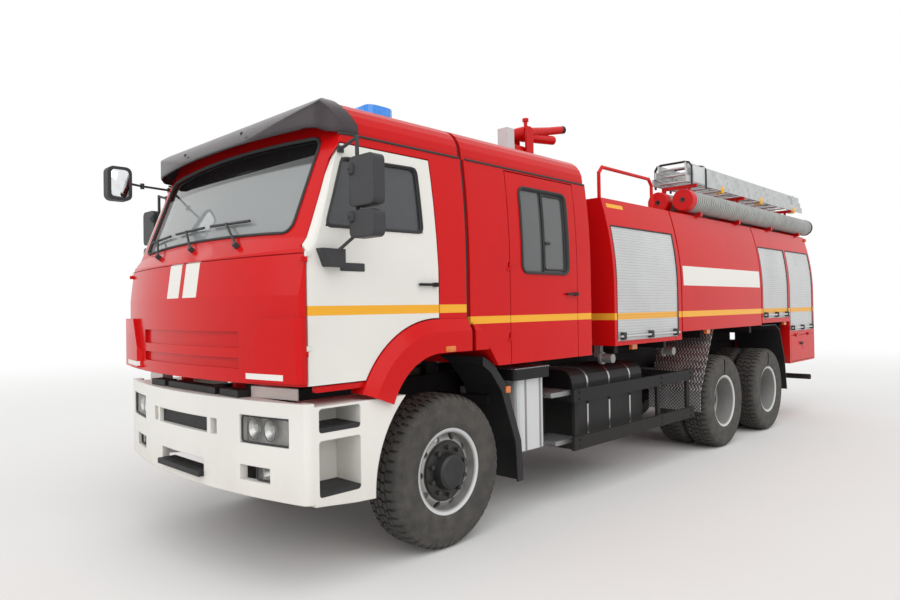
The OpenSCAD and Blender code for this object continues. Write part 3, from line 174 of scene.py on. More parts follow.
class Graph:
    """A material's node graph with one principled shader."""

    def __init__(self, name: str) -> None:
        """Starts a material of that name."""
        self.material = bpy.data.materials.new(name)
        self.material.use_nodes = True
        self.tree = self.material.node_tree
        self.tree.nodes.clear()
        self.shader = self.tree.nodes.new("ShaderNodeBsdfPrincipled")
        self.output = self.tree.nodes.new("ShaderNodeOutputMaterial")
        self.tree.links.new(self.shader.outputs[0], self.output.inputs["Surface"])
        self._place: Sock | None = None

    def _put(self, socket: bpy.types.NodeSocket, value: Any) -> None:
        """Links a value to a socket, or sets it there."""
        if isinstance(value, Sock):
            self.tree.links.new(value.socket, socket)
        elif hasattr(value, "__len__") and len(value) == 3 and socket.type == "RGBA":
            socket.default_value = (*value, 1.0)
        else:
            socket.default_value = value

    def node(
        self,
        kind: str,
        settings: dict[str, Any] | None = None,
        values: dict[str | int, Any] | None = None,
        out: str | int = 0,
    ) -> Sock:
        """Adds any node.

        Args:
            kind: the node's type.
            settings: its own options, with a ramp's stops under "stops".
            values: what each input gets, by name or number.
            out: which output is wanted.

        Returns:
            That output.
        """
        made = self.tree.nodes.new(kind)
        for key, value in (settings or {}).items():
            if key == "stops":
                while len(made.color_ramp.elements) < len(value):
                    made.color_ramp.elements.new(0.5)
                for stop, (spot, colour) in zip(made.color_ramp.elements, value):
                    stop.position = spot
                    stop.color = (*colour, 1.0)
            else:
                setattr(made, key, value)
        for key, value in (values or {}).items():
            self._put(made.inputs[key], value)
        return Sock(self, made.outputs[out])

    @property
    def place(self) -> Sock:
        """The point on the piece, in metres."""
        if self._place is None:
            self._place = self.node("ShaderNodeTexCoord", out="Object")
        return self._place

    def axes(self, point: Sock | None = None) -> tuple[Sock, Sock, Sock]:
        """The three parts of a point."""
        apart = self.node("ShaderNodeSeparateXYZ", None, {0: point or self.place})
        return tuple(Sock(self, apart.socket.node.outputs[i]) for i in range(3))

    def stretched(self, scale: Point) -> Sock:
        """The point on the piece, scaled along each axis."""
        return self.node("ShaderNodeVectorMath", {"operation": "MULTIPLY"}, {0: self.place, 1: scale})

    def noise(
        self, scale: float, detail: float = 3.0, rough: float = 0.55, point: Sock | None = None
    ) -> Sock:
        """A cloudy value from 0 to 1.

        Args:
            scale: how many clouds a metre.
            detail: the octaves.
            rough: the share of the fine octaves.
            point: where it is read, or the point on the piece.

        Returns:
            The value.
        """
        names = {"Vector": point or self.place, "Scale": scale, "Detail": detail, "Roughness": rough}
        return self.node("ShaderNodeTexNoise", {"noise_dimensions": "3D"}, names, "Fac")

    def cells(self, scale: float, point: Sock | None = None) -> Sock:
        """The distance to the nearest of scattered points."""
        names = {"Vector": point or self.place, "Scale": scale}
        return self.node("ShaderNodeTexVoronoi", None, names, "Distance")

    def mix(self, share: Any, first: Any, second: Any) -> Sock:
        """Mixes two colours.

        Args:
            share: how much of the second.
            first: the colour at share 0.
            second: the colour at share 1.

        Returns:
            The mixed colour.
        """
        return self.node("ShaderNodeMix", {"data_type": "RGBA"}, {0: share, 6: first, 7: second}, 2)

    def bump(
        self, height: Sock, distance: float, strength: float = 1.0, normal: Sock | None = None
    ) -> Sock:
        """A normal that follows a height.

        Args:
            height: the height, from 0 to 1.
            distance: how high 1 is, in metres.
            strength: how strongly it shows.
            normal: the normal underneath.

        Returns:
            The normal.
        """
        names: dict[str | int, Any] = {"Height": height, "Distance": distance, "Strength": strength}
        if normal is not None:
            names["Normal"] = normal
        return self.node("ShaderNodeBump", None, names)

    def rounded(self, radius: float) -> Sock:
        """A normal that rounds sharp edges."""
        return self.node("ShaderNodeBevel", {"samples": 4}, {"Radius": radius})

    def done(self, **values: Any) -> bpy.types.Material:
        """Sets the shader's inputs, with _ for a space, and gives the material."""
        for key, value in values.items():
            self._put(self.shader.inputs[key.replace("_", " ")], value)
        return self.material


# Finishes


class Hue(Enum):
    """The colours that the truck is painted and trimmed in, as linear light."""

    RED = (0.60, 0.006, 0.007)
    WHITE = (0.78, 0.765, 0.72)
    YELLOW = (0.86, 0.42, 0.035)
    BLACK = (0.012, 0.012, 0.013)
    CHARCOAL = (0.035, 0.035, 0.038)
    GREY = (0.30, 0.30, 0.31)
    SILVER = (0.60, 0.61, 0.61)
    STEEL = (0.33, 0.33, 0.325)
    ZINC = (0.44, 0.45, 0.43)
    DUST = (0.33, 0.27, 0.20)
    SOOT = (0.048, 0.043, 0.038)
    # A pale grey that paints the sky's reflection into the windscreen's colour, not the glass's own tint
    PAINTED_SKY_REFLECTION = (0.40, 0.42, 0.42)
    FROST = (0.115, 0.118, 0.122)
    GLASS = (0.085, 0.09, 0.095)
    SMOKE = (0.040, 0.031, 0.034)
    BLUE = (0.03, 0.28, 0.85)
    ORANGE = (0.85, 0.20, 0.015)

    def times(self, share: float, more: float = 0.0) -> Colour:
        """This colour scaled, with a little added, up to full light."""
        return tuple(min(1.0, c * share + more) for c in self.value)


@dataclass(frozen=True)
class Band:
    """A painted stripe or panel: a box that the paint inside takes its colour from."""

    low: tuple[float, float, float]
    high: tuple[float, float, float]
    hue: Hue = Hue.YELLOW
    mirrored: bool = True

    def mask(self, graph: Graph) -> Sock:
        """One inside the box, else zero."""
        x, y, z = graph.axes()
        across = abs(y) if self.mirrored else y
        shown = x.within(self.low[0], self.high[0]) & across.within(self.low[1], self.high[1])
        return shown & z.within(self.low[2], self.high[2])


@dataclass(frozen=True)
class Finish:
    """A surface finish that makes its material once."""

    name: str

    def make(self) -> bpy.types.Material:
        """The finish's material, made at first use."""
        return bpy.data.materials.get(self.name) or self.mix_up(Graph(self.name))

    def mix_up(self, graph: Graph) -> bpy.types.Material:
        """Builds the material in its graph."""
        raise NotImplementedError


@dataclass(frozen=True)
class Paint(Finish):
    """Gloss coach paint with its stripes, road dust low down and faint orange peel."""

    hue: Hue = Hue.RED
    bands: tuple[Band, ...] = ()
    gloss: float = 0.16
    dust: float = 0.5
    dust_top: float = 1.5
    edge: float = 0.006
    soil: Hue = Hue.DUST
    shine: float = 0.14
    coat: float = 0.06

    def mix_up(self, graph: Graph) -> bpy.types.Material:
        """Builds the paint."""
        _, _, z = graph.axes()
        cloud = graph.noise(1.1, 4.0)
        streak = graph.noise(7.0, 5.0, 0.6, graph.stretched((1.0, 1.0, 0.18)))
        low = z.ramp(self.dust_top, 0.35)
        film = (low * (0.35 + 0.9 * streak) * self.dust).ramp(0.02, 1.0, 0.62)
        tone = graph.mix(cloud.ramp(0.3, 0.75, 0.5), self.hue.value, self.hue.times(0.86))
        for band in self.bands:
            tone = graph.mix(band.mask(graph), tone, band.hue.value)
        chips = graph.cells(46.0).ramp(0.055, 0.03) * graph.noise(2.3).ramp(0.66, 0.72) * low
        colour = graph.mix(film, graph.mix(chips, tone, Hue.GREY.value), self.soil.value)
        rough = self.gloss + 0.5 * film + 0.06 * streak
        peel = graph.bump(graph.noise(210.0, 2.0), 0.00012, 0.35, graph.rounded(self.edge))
        panel = graph.bump(cloud, 0.02, 0.06, peel)
        return graph.done(
            Base_Color=colour,
            Roughness=rough,
            Normal=panel,
            Specular_IOR_Level=self.shine,
            Coat_Weight=self.coat * (1 - film),
            Coat_Roughness=0.05,
        )


@dataclass(frozen=True)
class Plastic(Finish):
    """Moulded plastic with a fine grain and a dry dust."""

    hue: Hue = Hue.CHARCOAL
    rough: float = 0.5
    grain: float = 700.0
    depth: float = 0.00025
    dust: float = 0.3
    dust_top: float = 1.4
    edge: float = 0.004
    bands: tuple[Band, ...] = ()
    soil: Hue = Hue.SOOT

    def mix_up(self, graph: Graph) -> bpy.types.Material:
        """Builds the plastic."""
        _, _, z = graph.axes()
        spread = graph.noise(5.0, 5.0, 0.62)
        film = z.ramp(self.dust_top, 0.3) * spread.ramp(0.25, 0.8) * self.dust
        tone = graph.mix(spread, self.hue.value, self.hue.times(1.35, 0.002))
        for band in self.bands:
            tone = graph.mix(band.mask(graph), tone, band.hue.value)
        colour = graph.mix(film, tone, self.soil.value)
        skin = graph.bump(graph.noise(self.grain, 3.0), self.depth, 0.5, graph.rounded(self.edge))
        rough = self.rough + 0.25 * film + 0.12 * spread
        return graph.done(Base_Color=colour, Roughness=rough, Normal=skin, Specular_IOR_Level=0.3)


@dataclass(frozen=True)
class Metal(Finish):
    """Bare or silvered metal with drawn scratches and dull patches."""

    hue: Hue = Hue.SILVER
    metallic: float = 0.85
    rough: float = 0.32
    drawn: tuple[float, float, float] = (1.0, 1.0, 1.0)
    dust: float = 0.25
    dust_top: float = 1.3
    edge: float = 0.003

    def mix_up(self, graph: Graph) -> bpy.types.Material:
        """Builds the metal."""
        _, _, z = graph.axes()
        patch = graph.noise(6.0, 5.0, 0.6)
        lines = graph.noise(240.0, 2.0, 0.5, graph.stretched(self.drawn))
        film = z.ramp(self.dust_top, 0.3) * patch.ramp(0.3, 0.8) * self.dust
        tone = graph.mix(patch.ramp(0.25, 0.8), self.hue.value, self.hue.times(0.78))
        colour = graph.mix(film, tone, Hue.DUST.value)
        skin = graph.bump(lines, 0.0002, 0.35, graph.rounded(self.edge))
        return graph.done(
            Base_Color=colour,
            Roughness=self.rough + 0.14 * lines + 0.2 * patch + 0.2 * film,
            Metallic=self.metallic - 0.7 * film,
            Normal=skin,
        )


@dataclass(frozen=True)
class Disc(Finish):
    """A painted wheel disc: a dark bolted middle, a silver ring and a bright lip."""

    centres: tuple[float, ...] = (3.42, -1.18, -2.62)
    height: float = 0.538
    dark: float = 0.214
    lip: float = 0.285
    nuts: tuple[float, float] = (0.146, 0.189)

    def mix_up(self, graph: Graph) -> bpy.types.Material:
        """Builds the disc's paint."""
        x, _, z = graph.axes()
        off = abs(x - self.centres[0])
        for centre in self.centres[1:]:
            off = off & abs(x - centre)
        up = z - self.height
        radius = (off * off + up * up).root()
        patch = graph.noise(9.0, 5.0, 0.6)
        film = patch.ramp(0.3, 0.8, 0.45) * radius.ramp(self.lip, self.lip - 0.03)
        tone = graph.mix(radius.ramp(self.lip - 0.008, self.lip), Hue.STEEL.value, Hue.SILVER.value)
        tone = graph.mix(film, tone, Hue.DUST.value)
        nuts = radius.within(*self.nuts) * 0.35
        middle = graph.mix(patch.ramp(0.35, 0.8, 0.5) + nuts, Hue.BLACK.value, Hue.SOOT.value)
        inner = radius.ramp(self.dark + 0.002, self.dark - 0.002)
        return graph.done(
            Base_Color=graph.mix(inner, tone, middle),
            Roughness=0.36 + 0.25 * patch,
            Metallic=0.35 - 0.25 * inner,
            Normal=graph.bump(graph.noise(260.0, 2.0), 0.0002, 0.3, graph.rounded(0.003)),
        )


@dataclass(frozen=True)
class Slats(Metal):
    """Anodised shutter slats: each is a shallow curve with a dark joint under it."""

    pitch: float = 0.0265
    bands: tuple[Band, ...] = ()

    def mix_up(self, graph: Graph) -> bpy.types.Material:
        """Builds the shutter."""
        _, _, z = graph.axes()
        phase = (z % self.pitch) / self.pitch
        curve = (phase * math.pi).sine()
        joint = phase.ramp(0.1, 0.02) | phase.ramp(0.93, 0.99)
        patch = graph.noise(2.0, 4.0)
        tone = graph.mix(patch.ramp(0.3, 0.8), self.hue.value, self.hue.times(0.88))
        for band in self.bands:
            tone = graph.mix(band.mask(graph) * 0.94, tone, band.hue.value)
        colour = graph.mix(joint * 0.4, tone, Hue.CHARCOAL.value)
        skin = graph.bump(curve ** 0.5, 0.0022, 0.6)
        rough = self.rough + 0.16 * patch
        return graph.done(Base_Color=colour, Roughness=rough, Metallic=self.metallic, Normal=skin)


@dataclass(frozen=True)
class Chequer(Metal):
    """Aluminium tread plate with raised crossed bars."""

    pitch: float = 0.05

    def mix_up(self, graph: Graph) -> bpy.types.Material:
        """Builds the plate."""
        x, y, z = graph.axes()
        first = ((x + y + z) * (math.tau / self.pitch)).sine()
        second = ((x - y + z) * (math.tau / self.pitch)).sine()
        studs = (first * second).ramp(0.28, 0.5) * (abs(first) > abs(second))
        ridge = studs | ((first * second).ramp(-0.28, -0.5) * (abs(second) > abs(first)))
        patch = graph.noise(9.0, 5.0, 0.65)
        dirt = patch.ramp(0.4, 0.8) * (1 - ridge) * 0.75
        # The raised bars are painted lighter and the flats between them darker, as copies of one tone:
        # painted highlight and painted shade
        plate = graph.mix(ridge, self.hue.times(0.22), self.hue.times(1.3))
        colour = graph.mix(dirt, plate, self.hue.times(0.3))
        skin = graph.bump(ridge, 0.0022, 0.9, graph.bump(patch, 0.0006, 0.3))
        return graph.done(
            Base_Color=colour,
            Roughness=self.rough + 0.3 * dirt + 0.1 * patch,
            Metallic=self.metallic - 0.6 * dirt,
            Normal=skin,
        )


@dataclass(frozen=True)
class Ribbed(Metal):
    """A spirally ribbed tube that lies along x."""

    pitch: float = 0.05

    def mix_up(self, graph: Graph) -> bpy.types.Material:
        """Builds the tube."""
        x, _, _ = graph.axes()
        wave = ((x * (math.tau / self.pitch)).sine() * 0.5 + 0.5) ** 0.6
        patch = graph.noise(7.0, 5.0, 0.6)
        tone = graph.mix(patch.ramp(0.25, 0.8), self.hue.value, self.hue.times(0.75))
        # The grooves between the ribs are darkened towards charcoal: painted shade
        colour = graph.mix(wave.ramp(0.75, 0.1) * 0.75, tone, Hue.CHARCOAL.value)
        return graph.done(
            Base_Color=colour,
            Roughness=self.rough + 0.2 * patch,
            Metallic=self.metallic,
            Normal=graph.bump(wave, 0.006, 0.9),
        )


@dataclass(frozen=True)
class Tread(Finish):
    """Tyre rubber about its own axle: moulded rings on the wall, road dust in the tread."""

    outer: float = 0.538
    dusty: float = 0.55

    def mix_up(self, graph: Graph) -> bpy.types.Material:
        """Builds the rubber."""
        x, _, z = graph.axes()
        radius = (x * x + z * z).root()
        worn = graph.noise(9.0, 5.0, 0.62)
        wall = radius.ramp(self.outer - 0.012, self.outer - 0.03)
        film = (0.25 + 0.75 * worn.ramp(0.25, 0.8)) * self.dusty
        rings = ((radius * 520.0).sine() * 0.5 + 0.5) * radius.within(0.33, 0.345)
        lines = ((radius * 900.0).sine() * 0.5 + 0.5) * radius.within(0.452, 0.468)
        rubber = graph.mix(worn, (0.017, 0.017, 0.018), (0.03, 0.029, 0.028))
        colour = graph.mix(film * (0.55 + 0.3 * wall), rubber, (0.15, 0.135, 0.115))
        skin = graph.bump(rings | lines, 0.002, 0.8, graph.bump(graph.noise(320.0, 3.0), 0.0005, 0.5))
        return graph.done(Base_Color=colour, Roughness=0.72 + 0.2 * film, Normal=skin)


@dataclass(frozen=True)
class Pane(Finish):
    """Tinted window glass, clearer face on and glossier at a slant, with a little grime."""

    hue: Hue = Hue.GLASS
    tint: float = 0.66
    # The height from which the glass is painted dark as shade, or None
    painted_shade_from_z: float | None = None

    def mix_up(self, graph: Graph) -> bpy.types.Material:
        """Builds the glass."""
        _, _, z = graph.axes()
        slant = graph.node("ShaderNodeLayerWeight", None, {"Blend": 0.28}, "Fresnel")
        grime = graph.noise(3.5, 5.0, 0.6).ramp(0.5, 0.85, 0.06)
        colour: Any = graph.mix(grime, self.hue.value, Hue.DUST.value)
        veil: Sock = (self.tint + slant * 0.5 + grime) & 1.0
        # Above this height the glass turns black and nearly opaque: painted shade along the top of the
        # windscreen
        if self.painted_shade_from_z is not None:
            shade = z.ramp(self.painted_shade_from_z - 0.02, self.painted_shade_from_z)
            veil = veil | (shade * 0.97)
            colour = graph.mix(shade, colour, Hue.BLACK.value)
        return graph.done(
            Base_Color=colour,
            Alpha=veil,
            Roughness=0.03 + 0.3 * grime,
            IOR=1.52,
            Coat_Weight=0.4,
            Coat_Roughness=0.02,
        )


@dataclass(frozen=True)
class Lens(Finish):
    """A clear or coloured lamp lens with moulded flutes."""

    hue: Hue = Hue.WHITE
    veil: float = 0.3
    flutes: float = 0.0
    glow: float = 0.0

    def mix_up(self, graph: Graph) -> bpy.types.Material:
        """Builds the lens."""
        x, y, _ = graph.axes()
        depth = graph.noise(14.0, 3.0)
        colour = graph.mix(depth.ramp(0.2, 0.8), self.hue.value, self.hue.times(0.55))
        slant = graph.node("ShaderNodeLayerWeight", None, {"Blend": 0.3}, "Fresnel")
        cover = self.veil + 0.6 * slant
        ribs = ((y + x * 0.35) * self.flutes).sine() * 0.5 + 0.5
        return graph.done(
            Base_Color=colour,
            Alpha=cover | self.veil,
            Roughness=0.08 + 0.06 * depth,
            Normal=graph.bump(ribs, 0.0015, 0.5 if self.flutes else 0.02),
            Coat_Weight=0.5,
            Coat_Roughness=0.03,
            Emission_Color=colour,
            Emission_Strength=self.glow,
        )


@dataclass(frozen=True)
class Weave(Finish):
    """Seat cloth with a twill weave, worn paler in patches."""

    warm: Colour = (0.055, 0.055, 0.062)
    cool: Colour = (0.022, 0.022, 0.028)
    pitch: float = 0.004

    def mix_up(self, graph: Graph) -> bpy.types.Material:
        """Builds the cloth."""
        x, y, z = graph.axes()
        warp = ((x + z) * (math.tau / self.pitch)).sine()
        weft = (y * (math.tau / self.pitch) + (x + z) * 400.0).sine()
        thread = (warp * weft) * 0.5 + 0.5
        wear = graph.noise(11.0, 4.0)
        colour = graph.mix(thread * 0.6 + wear.ramp(0.3, 0.9, 0.4), self.cool, self.warm)
        return graph.done(
            Base_Color=colour,
            Roughness=0.82 + 0.1 * wear,
            Normal=graph.bump(thread, 0.0008, 0.6, graph.bump(wear, 0.004, 0.3)),
            Sheen_Weight=0.25,
            Sheen_Roughness=0.4,
        )


@dataclass(frozen=True)
class Casting(Finish):
    """Rough cast iron with oil and dust."""

    tone: Colour = (0.06, 0.058, 0.055)

    def mix_up(self, graph: Graph) -> bpy.types.Material:
        """Builds the casting."""
        grit = graph.noise(60.0, 5.0, 0.7)
        stain = graph.noise(4.0, 5.0)
        colour = graph.mix(stain.ramp(0.3, 0.8, 0.6), self.tone, (0.14, 0.115, 0.085))
        return graph.done(
            Base_Color=colour,
            Roughness=0.55 + 0.3 * stain,
            Metallic=0.3 * (1 - stain),
            Normal=graph.bump(grit, 0.0015, 0.6, graph.rounded(0.005)),
        )


@dataclass(frozen=True)
class MirrorGlass(Finish):
    """Silvered glass with a little grime at its rim."""

    def mix_up(self, graph: Graph) -> bpy.types.Material:
        """Builds the mirror."""
        grime = graph.noise(16.0, 4.0).ramp(0.45, 0.9, 0.3)
        tone = graph.mix(grime, (0.8, 0.82, 0.83), Hue.DUST.value)
        return graph.done(Base_Color=tone, Metallic=1.0, Roughness=0.03 + 0.4 * grime)


STRIPE_BODY = (1.55, 1.612)


def stripe(x0: float, x1: float, z0: float, z1: float) -> Band:
    """A yellow line on both outer sides, between two places along the truck."""
    return Band((x0 + AXLE_X, 1.0, z0), (x1 + AXLE_X, 1.5, z1))


@dataclass(frozen=True)
class Livery:
    """Every finish on the truck."""

    cab_red: Paint = Paint(
        "cab_red",
        bands=(
            Band((4.3, 0.03, 1.78), (4.95, 0.22, 2.016), Hue.WHITE),
            Band((4.4, 0.80, 1.283), (5.0, 1.13, 1.317), Hue.WHITE),
            stripe(-0.20, 0.20, 1.652, 1.709),
        ),
    )
    door_white: Paint = Paint(
        "door_white",
        Hue.WHITE,
        (stripe(0.10, 1.25, 1.652, 1.709), Band((3.585, 1.2365, 1.82), (3.78, 1.5, 1.866), Hue.BLACK)),
        dust=0.25,
    )
    crew_red: Paint = Paint(
        "crew_red",
        bands=(stripe(-1.75, -0.16, 1.567, 1.621), Band((1.89, 1.2365, 1.764), (2.08, 1.5, 1.81), Hue.BLACK)),
    )
    body_red: Paint = Paint(
        "body_red",
        bands=(
            Band((-2.38, 1.18, 1.89), (-0.14, 1.5, 2.10), Hue.WHITE),
            stripe(-8.04, -2.02, *STRIPE_BODY),
            stripe(-2.49, -2.19, 2.612, 2.65),
        ),
    )
    plain_red: Paint = Paint("plain_red", dust=0.35, gloss=0.22)
    cap_red: Paint = Paint("cap_red", dust=0.3, gloss=0.3)
    bumper_white: Paint = Paint("bumper_white", Hue.WHITE, dust=0.5, dust_top=1.15, gloss=0.26, edge=0.009)
    black_steel: Paint = Paint(
        "black_steel", Hue.BLACK, gloss=0.5, dust=0.75, edge=0.004, soil=Hue.SOOT, shine=0.2, coat=0.0
    )
    tank_black: Paint = Paint(
        "tank_black", Hue.BLACK, gloss=0.42, dust=0.6, soil=Hue.SOOT, shine=0.3, coat=0.0
    )
    guard_black: Plastic = Plastic("guard_black", Hue.BLACK, 0.46, 220.0, 0.0003, 0.5)
    charcoal: Plastic = Plastic("charcoal", Hue.CHARCOAL)
    rubber: Plastic = Plastic("rubber", Hue.BLACK, 0.62, 400.0, 0.0003, 0.25)
    smoke: Plastic = Plastic("smoke", Hue.SMOKE, 0.2, 500.0, 0.00003, 0.0, edge=0.045)
    silver: Metal = Metal("silver", rough=0.3)
    wheel_silver: Disc = Disc("wheel_silver")
    bright: Metal = Metal("bright", Hue.SILVER, 1.0, 0.12, dust=0.0)
    rung: Metal = Metal("rung", Hue.SILVER, 0.75, 0.36, (0.05, 1.0, 1.0), 0.0)
    slats: Slats = Slats("slats", Hue.SILVER, 0.35, 0.42, bands=(stripe(-8.04, -2.02, *STRIPE_BODY),))
    chequer: Chequer = Chequer("chequer", rough=0.3, pitch=0.075)
    step_black: Chequer = Chequer("step_black", Hue.CHARCOAL, 0.2, 0.5, pitch=0.03)
    ribbed: Ribbed = Ribbed("ribbed", Hue.ZINC, 0.25, 0.5)
    dull: Metal = Metal("dull", Hue.STEEL, 0.8, 0.34)
    mirror_black: Plastic = Plastic("mirror_black", Hue.CHARCOAL, 0.4, edge=0.018)
    monitor_red: Paint = Paint(
        "monitor_red",
        bands=(
            Band((1.23, 0.0, 3.30), (1.37, 0.07, 3.57), Hue.SILVER),
            Band((0.74, 0.0, 3.70), (0.86, 0.06, 3.80), Hue.SILVER),
            Band((0.20, 0.0, 3.40), (0.31, 0.10, 3.90), Hue.BLACK),
        ),
        dust=0.2,
        gloss=0.22,
    )
    tread: Tread = Tread("tread")
    pane: Pane = Pane("pane")
    crew_pane: Pane = Pane("crew_pane", Hue.FROST, 0.8)
    # The windscreen's pale base colour is a painted reflection of the sky
    screen: Pane = Pane("screen", Hue.PAINTED_SKY_REFLECTION, 0.6, 2.60)
    lens: Lens = Lens("lens", Hue.WHITE, 0.12, 0.0)
    amber: Lens = Lens("amber", Hue.ORANGE, 0.92, 900.0, 0.05)
    blue: Lens = Lens("blue", Hue.BLUE, 0.9, 260.0, 0.3)
    cloth: Weave = Weave("cloth")
    clamp_yellow: Plastic = Plastic("clamp_yellow", Hue.YELLOW, 0.4, 300.0, 0.0002, 0.1)
    casting: Casting = Casting("casting")
    mirror: MirrorGlass = MirrorGlass("mirror")


LIVERY = Livery()


# Mesh building


class Forge:
    """Collects the mesh of one piece, then hands it to a body."""

    def __init__(self, name: str) -> None:
        """Starts an empty piece of that name."""
        self.name = name
        self.mesh = bmesh.new()

    def skin(
        self, rings: Sequence[Sequence[Vector]], closed: bool = True, caps: bool = True
    ) -> list[bmesh.types.BMVert]:
        """Skins a row of rings.

        Args:
            rings: rings of equally many points.
            closed: whether each ring joins up.
            caps: whether the first and last ring are filled.

        Returns:
            The new vertices.
        """
        rows = [[self.mesh.verts.new(p) for p in ring] for ring in rings]
        count = len(rows[0])
        for a, b in zip(rows, rows[1:]):
            for i in range(count if closed else count - 1):
                j = (i + 1) % count
                self.mesh.faces.new((a[i], a[j], b[j], b[i]))
        if caps and closed:
            self.mesh.faces.new(list(reversed(rows[0])))
            self.mesh.faces.new(rows[-1])
        return [v for row in rows for v in row]

    def _bevel(self, verts: Sequence[bmesh.types.BMVert], width: float) -> list[bmesh.types.BMVert]:
        """Bevels every edge at some vertices.

        Args:
            verts: the vertices.
            width: how wide the bevel is.

        Returns:
            The vertices that the bevel made.
        """
        edges = list({e for v in verts for e in v.link_edges})
        made = bmesh.ops.bevel(self.mesh, geom=edges, offset=width, segments=2, profile=0.5, affect="EDGES")
        return made["verts"]

    def box(self, low: Point, high: Point, bevel: float = 0.0, turn: Matrix | None = None) -> "Forge":
        """Adds a box with bevelled edges.

        Args:
            low: its lowest corner.
            high: its highest corner.
            bevel: the width of the bevel.
            turn: a move applied afterwards.

        Returns:
            This forge.
        """
        x0, y0, z0 = (min(a, b) for a, b in zip(low, high))
        x1, y1, z1 = (max(a, b) for a, b in zip(low, high))
        rings = [[Vector((x, y, z)) for x, y in ((x0, y0), (x1, y0), (x1, y1), (x0, y1))] for z in (z0, z1)]
        verts = self.skin(rings)
        if bevel:
            verts = self._bevel(verts, bevel)
        if turn is not None:
            bmesh.ops.transform(self.mesh, matrix=turn, verts=list(set(verts)))
        return self

    def prism(
        self, outline: Sequence[Point], axis: Axis, start: float, end: float, bevel: float = 0.0
    ) -> "Forge":
        """Adds an outline drawn out along an axis.

        Args:
            outline: points in the two other axes, in their order.
            axis: the direction it is drawn out in.
            start: where it starts.
            end: where it ends.
            bevel: the width of the bevel on every edge.

        Returns:
            This forge.
        """

        def place(p: Point, t: float) -> Vector:
            """One point of the outline at a distance along the axis."""
            if axis is Axis.X:
                return Vector((t, p[0], p[1]))
            if axis is Axis.Y:
                return Vector((p[0], t, p[1]))
            return Vector((p[0], p[1], t))

        verts = self.skin([[place(p, t) for p in outline] for t in (start, end)])
        if bevel:
            self._bevel(verts, bevel)
        return self

    def tube(
        self, path: Sequence[Point], radius: float, sides: int = 8, loop: bool = False, flat: float = 1.0
    ) -> "Forge":
        """Adds a tube along a path, mitred at its corners.

        Args:
            path: the points it follows.
            radius: its radius.
            sides: how many faces go round.
            loop: whether the path closes.
            flat: the height of its section over its width.

        Returns:
            This forge.
        """
        points = [Vector(p) for p in path]
        count = len(points)
        rings = []
        side: Vector | None = None
        for i, p in enumerate(points):
            before = points[(i - 1) % count] if loop or i else None
            after = points[(i + 1) % count] if loop or i < count - 1 else None
            ahead = ((after - p).normalized() if after is not None else Vector()) + (
                (p - before).normalized() if before is not None else Vector()
            )
            ahead.normalize()
            if side is None:
                side = ahead.orthogonal().normalized()
            side = (side - ahead * side.dot(ahead)).normalized()
            other = ahead.cross(side)
            turn = (math.tau * k / sides for k in range(sides))
            rings.append([p + (side * math.cos(a) + other * math.sin(a) * flat) * radius for a in turn])
        if loop:
            rings.append(rings[0])
            verts = self.skin(rings, caps=False)
            bmesh.ops.remove_doubles(self.mesh, verts=verts, dist=WELD)
        else:
            self.skin(rings)
        return self

    def rod(
        self, start: Point, end: Point, radius: float, far: float | None = None, sides: int = 20
    ) -> "Forge":
        """Adds a round bar with chamfered ends.

        Args:
            start: the middle of one end.
            end: the middle of the other.
            radius: its radius at the start.
            far: its radius at the end, or the same.
            sides: how many faces go round.

        Returns:
            This forge.
        """
        far = radius if far is None else far
        a, b = Vector(start), Vector(end)
        length = (b - a).length
        cut = min(radius * 0.12, length * 0.2)
        profile = [(radius - cut, 0.0), (radius, cut), (far, length - cut), (far - cut, length)]
        return self.spun(profile, a, b - a, sides)

    def spun(self, profile: Pairs, centre: Point, along: Point, sides: int = 32) -> "Forge":
        """Adds a turned form.

        Args:
            profile: pairs of radius and distance along the axis.
            centre: where the axis starts.
            along: the axis's direction.
            sides: how many faces go round.

        Returns:
            This forge.
        """
        ahead = Vector(along).normalized()
        side = ahead.orthogonal().normalized()
        other = ahead.cross(side)
        rings = []
        for radius, distance in profile:
            turn = (math.tau * k / sides for k in range(sides))
            middle = Vector(centre) + ahead * distance
            rings.append([middle + (side * math.cos(a) + other * math.sin(a)) * radius for a in turn])
        self.skin(rings)
        return self

    def ring(self, profile: Pairs, centre: Point, along: Point, sides: int = 32) -> "Forge":
        """Adds a turned ring.

        Args:
            profile: the ring's closed section, as pairs of radius and distance along the axis.
            centre: where the axis starts.
            along: the axis's direction.
            sides: how many faces go round.

        Returns:
            This forge.
        """
        ahead = Vector(along).normalized()
        side = ahead.orthogonal().normalized()
        other = ahead.cross(side)
        rings = []
        for k in range(sides):
            out = side * math.cos(math.tau * k / sides) + other * math.sin(math.tau * k / sides)
            rings.append([Vector(centre) + ahead * distance + out * radius for radius, distance in profile])
        rings.append(rings[0])
        verts = self.skin(rings, caps=False)
        bmesh.ops.remove_doubles(self.mesh, verts=verts, dist=WELD)
        return self

    def hoop(self, edges: Sequence[Sequence[Vector]], thick: float) -> "Forge":
        """Adds a flat band between two closed edges, thickened outward.

        Args:
            edges: the band's two edges, as closed rows of points.
            thick: its thickness.

        Returns:
            This forge.
        """
        grown = []
        for edge in edges:
            heart = sum(edge, Vector()) / len(edge)
            row = [p + (p - heart).normalized() * thick for p in edge]
            grown.append(row)
        count = len(edges[0])
        section = [edges[0], edges[1], grown[1], grown[0]]
        rows = [[self.mesh.verts.new(p) for p in row] for row in section]
        for a, b in zip(rows, [*rows[1:], rows[0]]):
            for i in range(count):
                j = (i + 1) % count
                self.mesh.faces.new((a[i], a[j], b[j], b[i]))
        return self

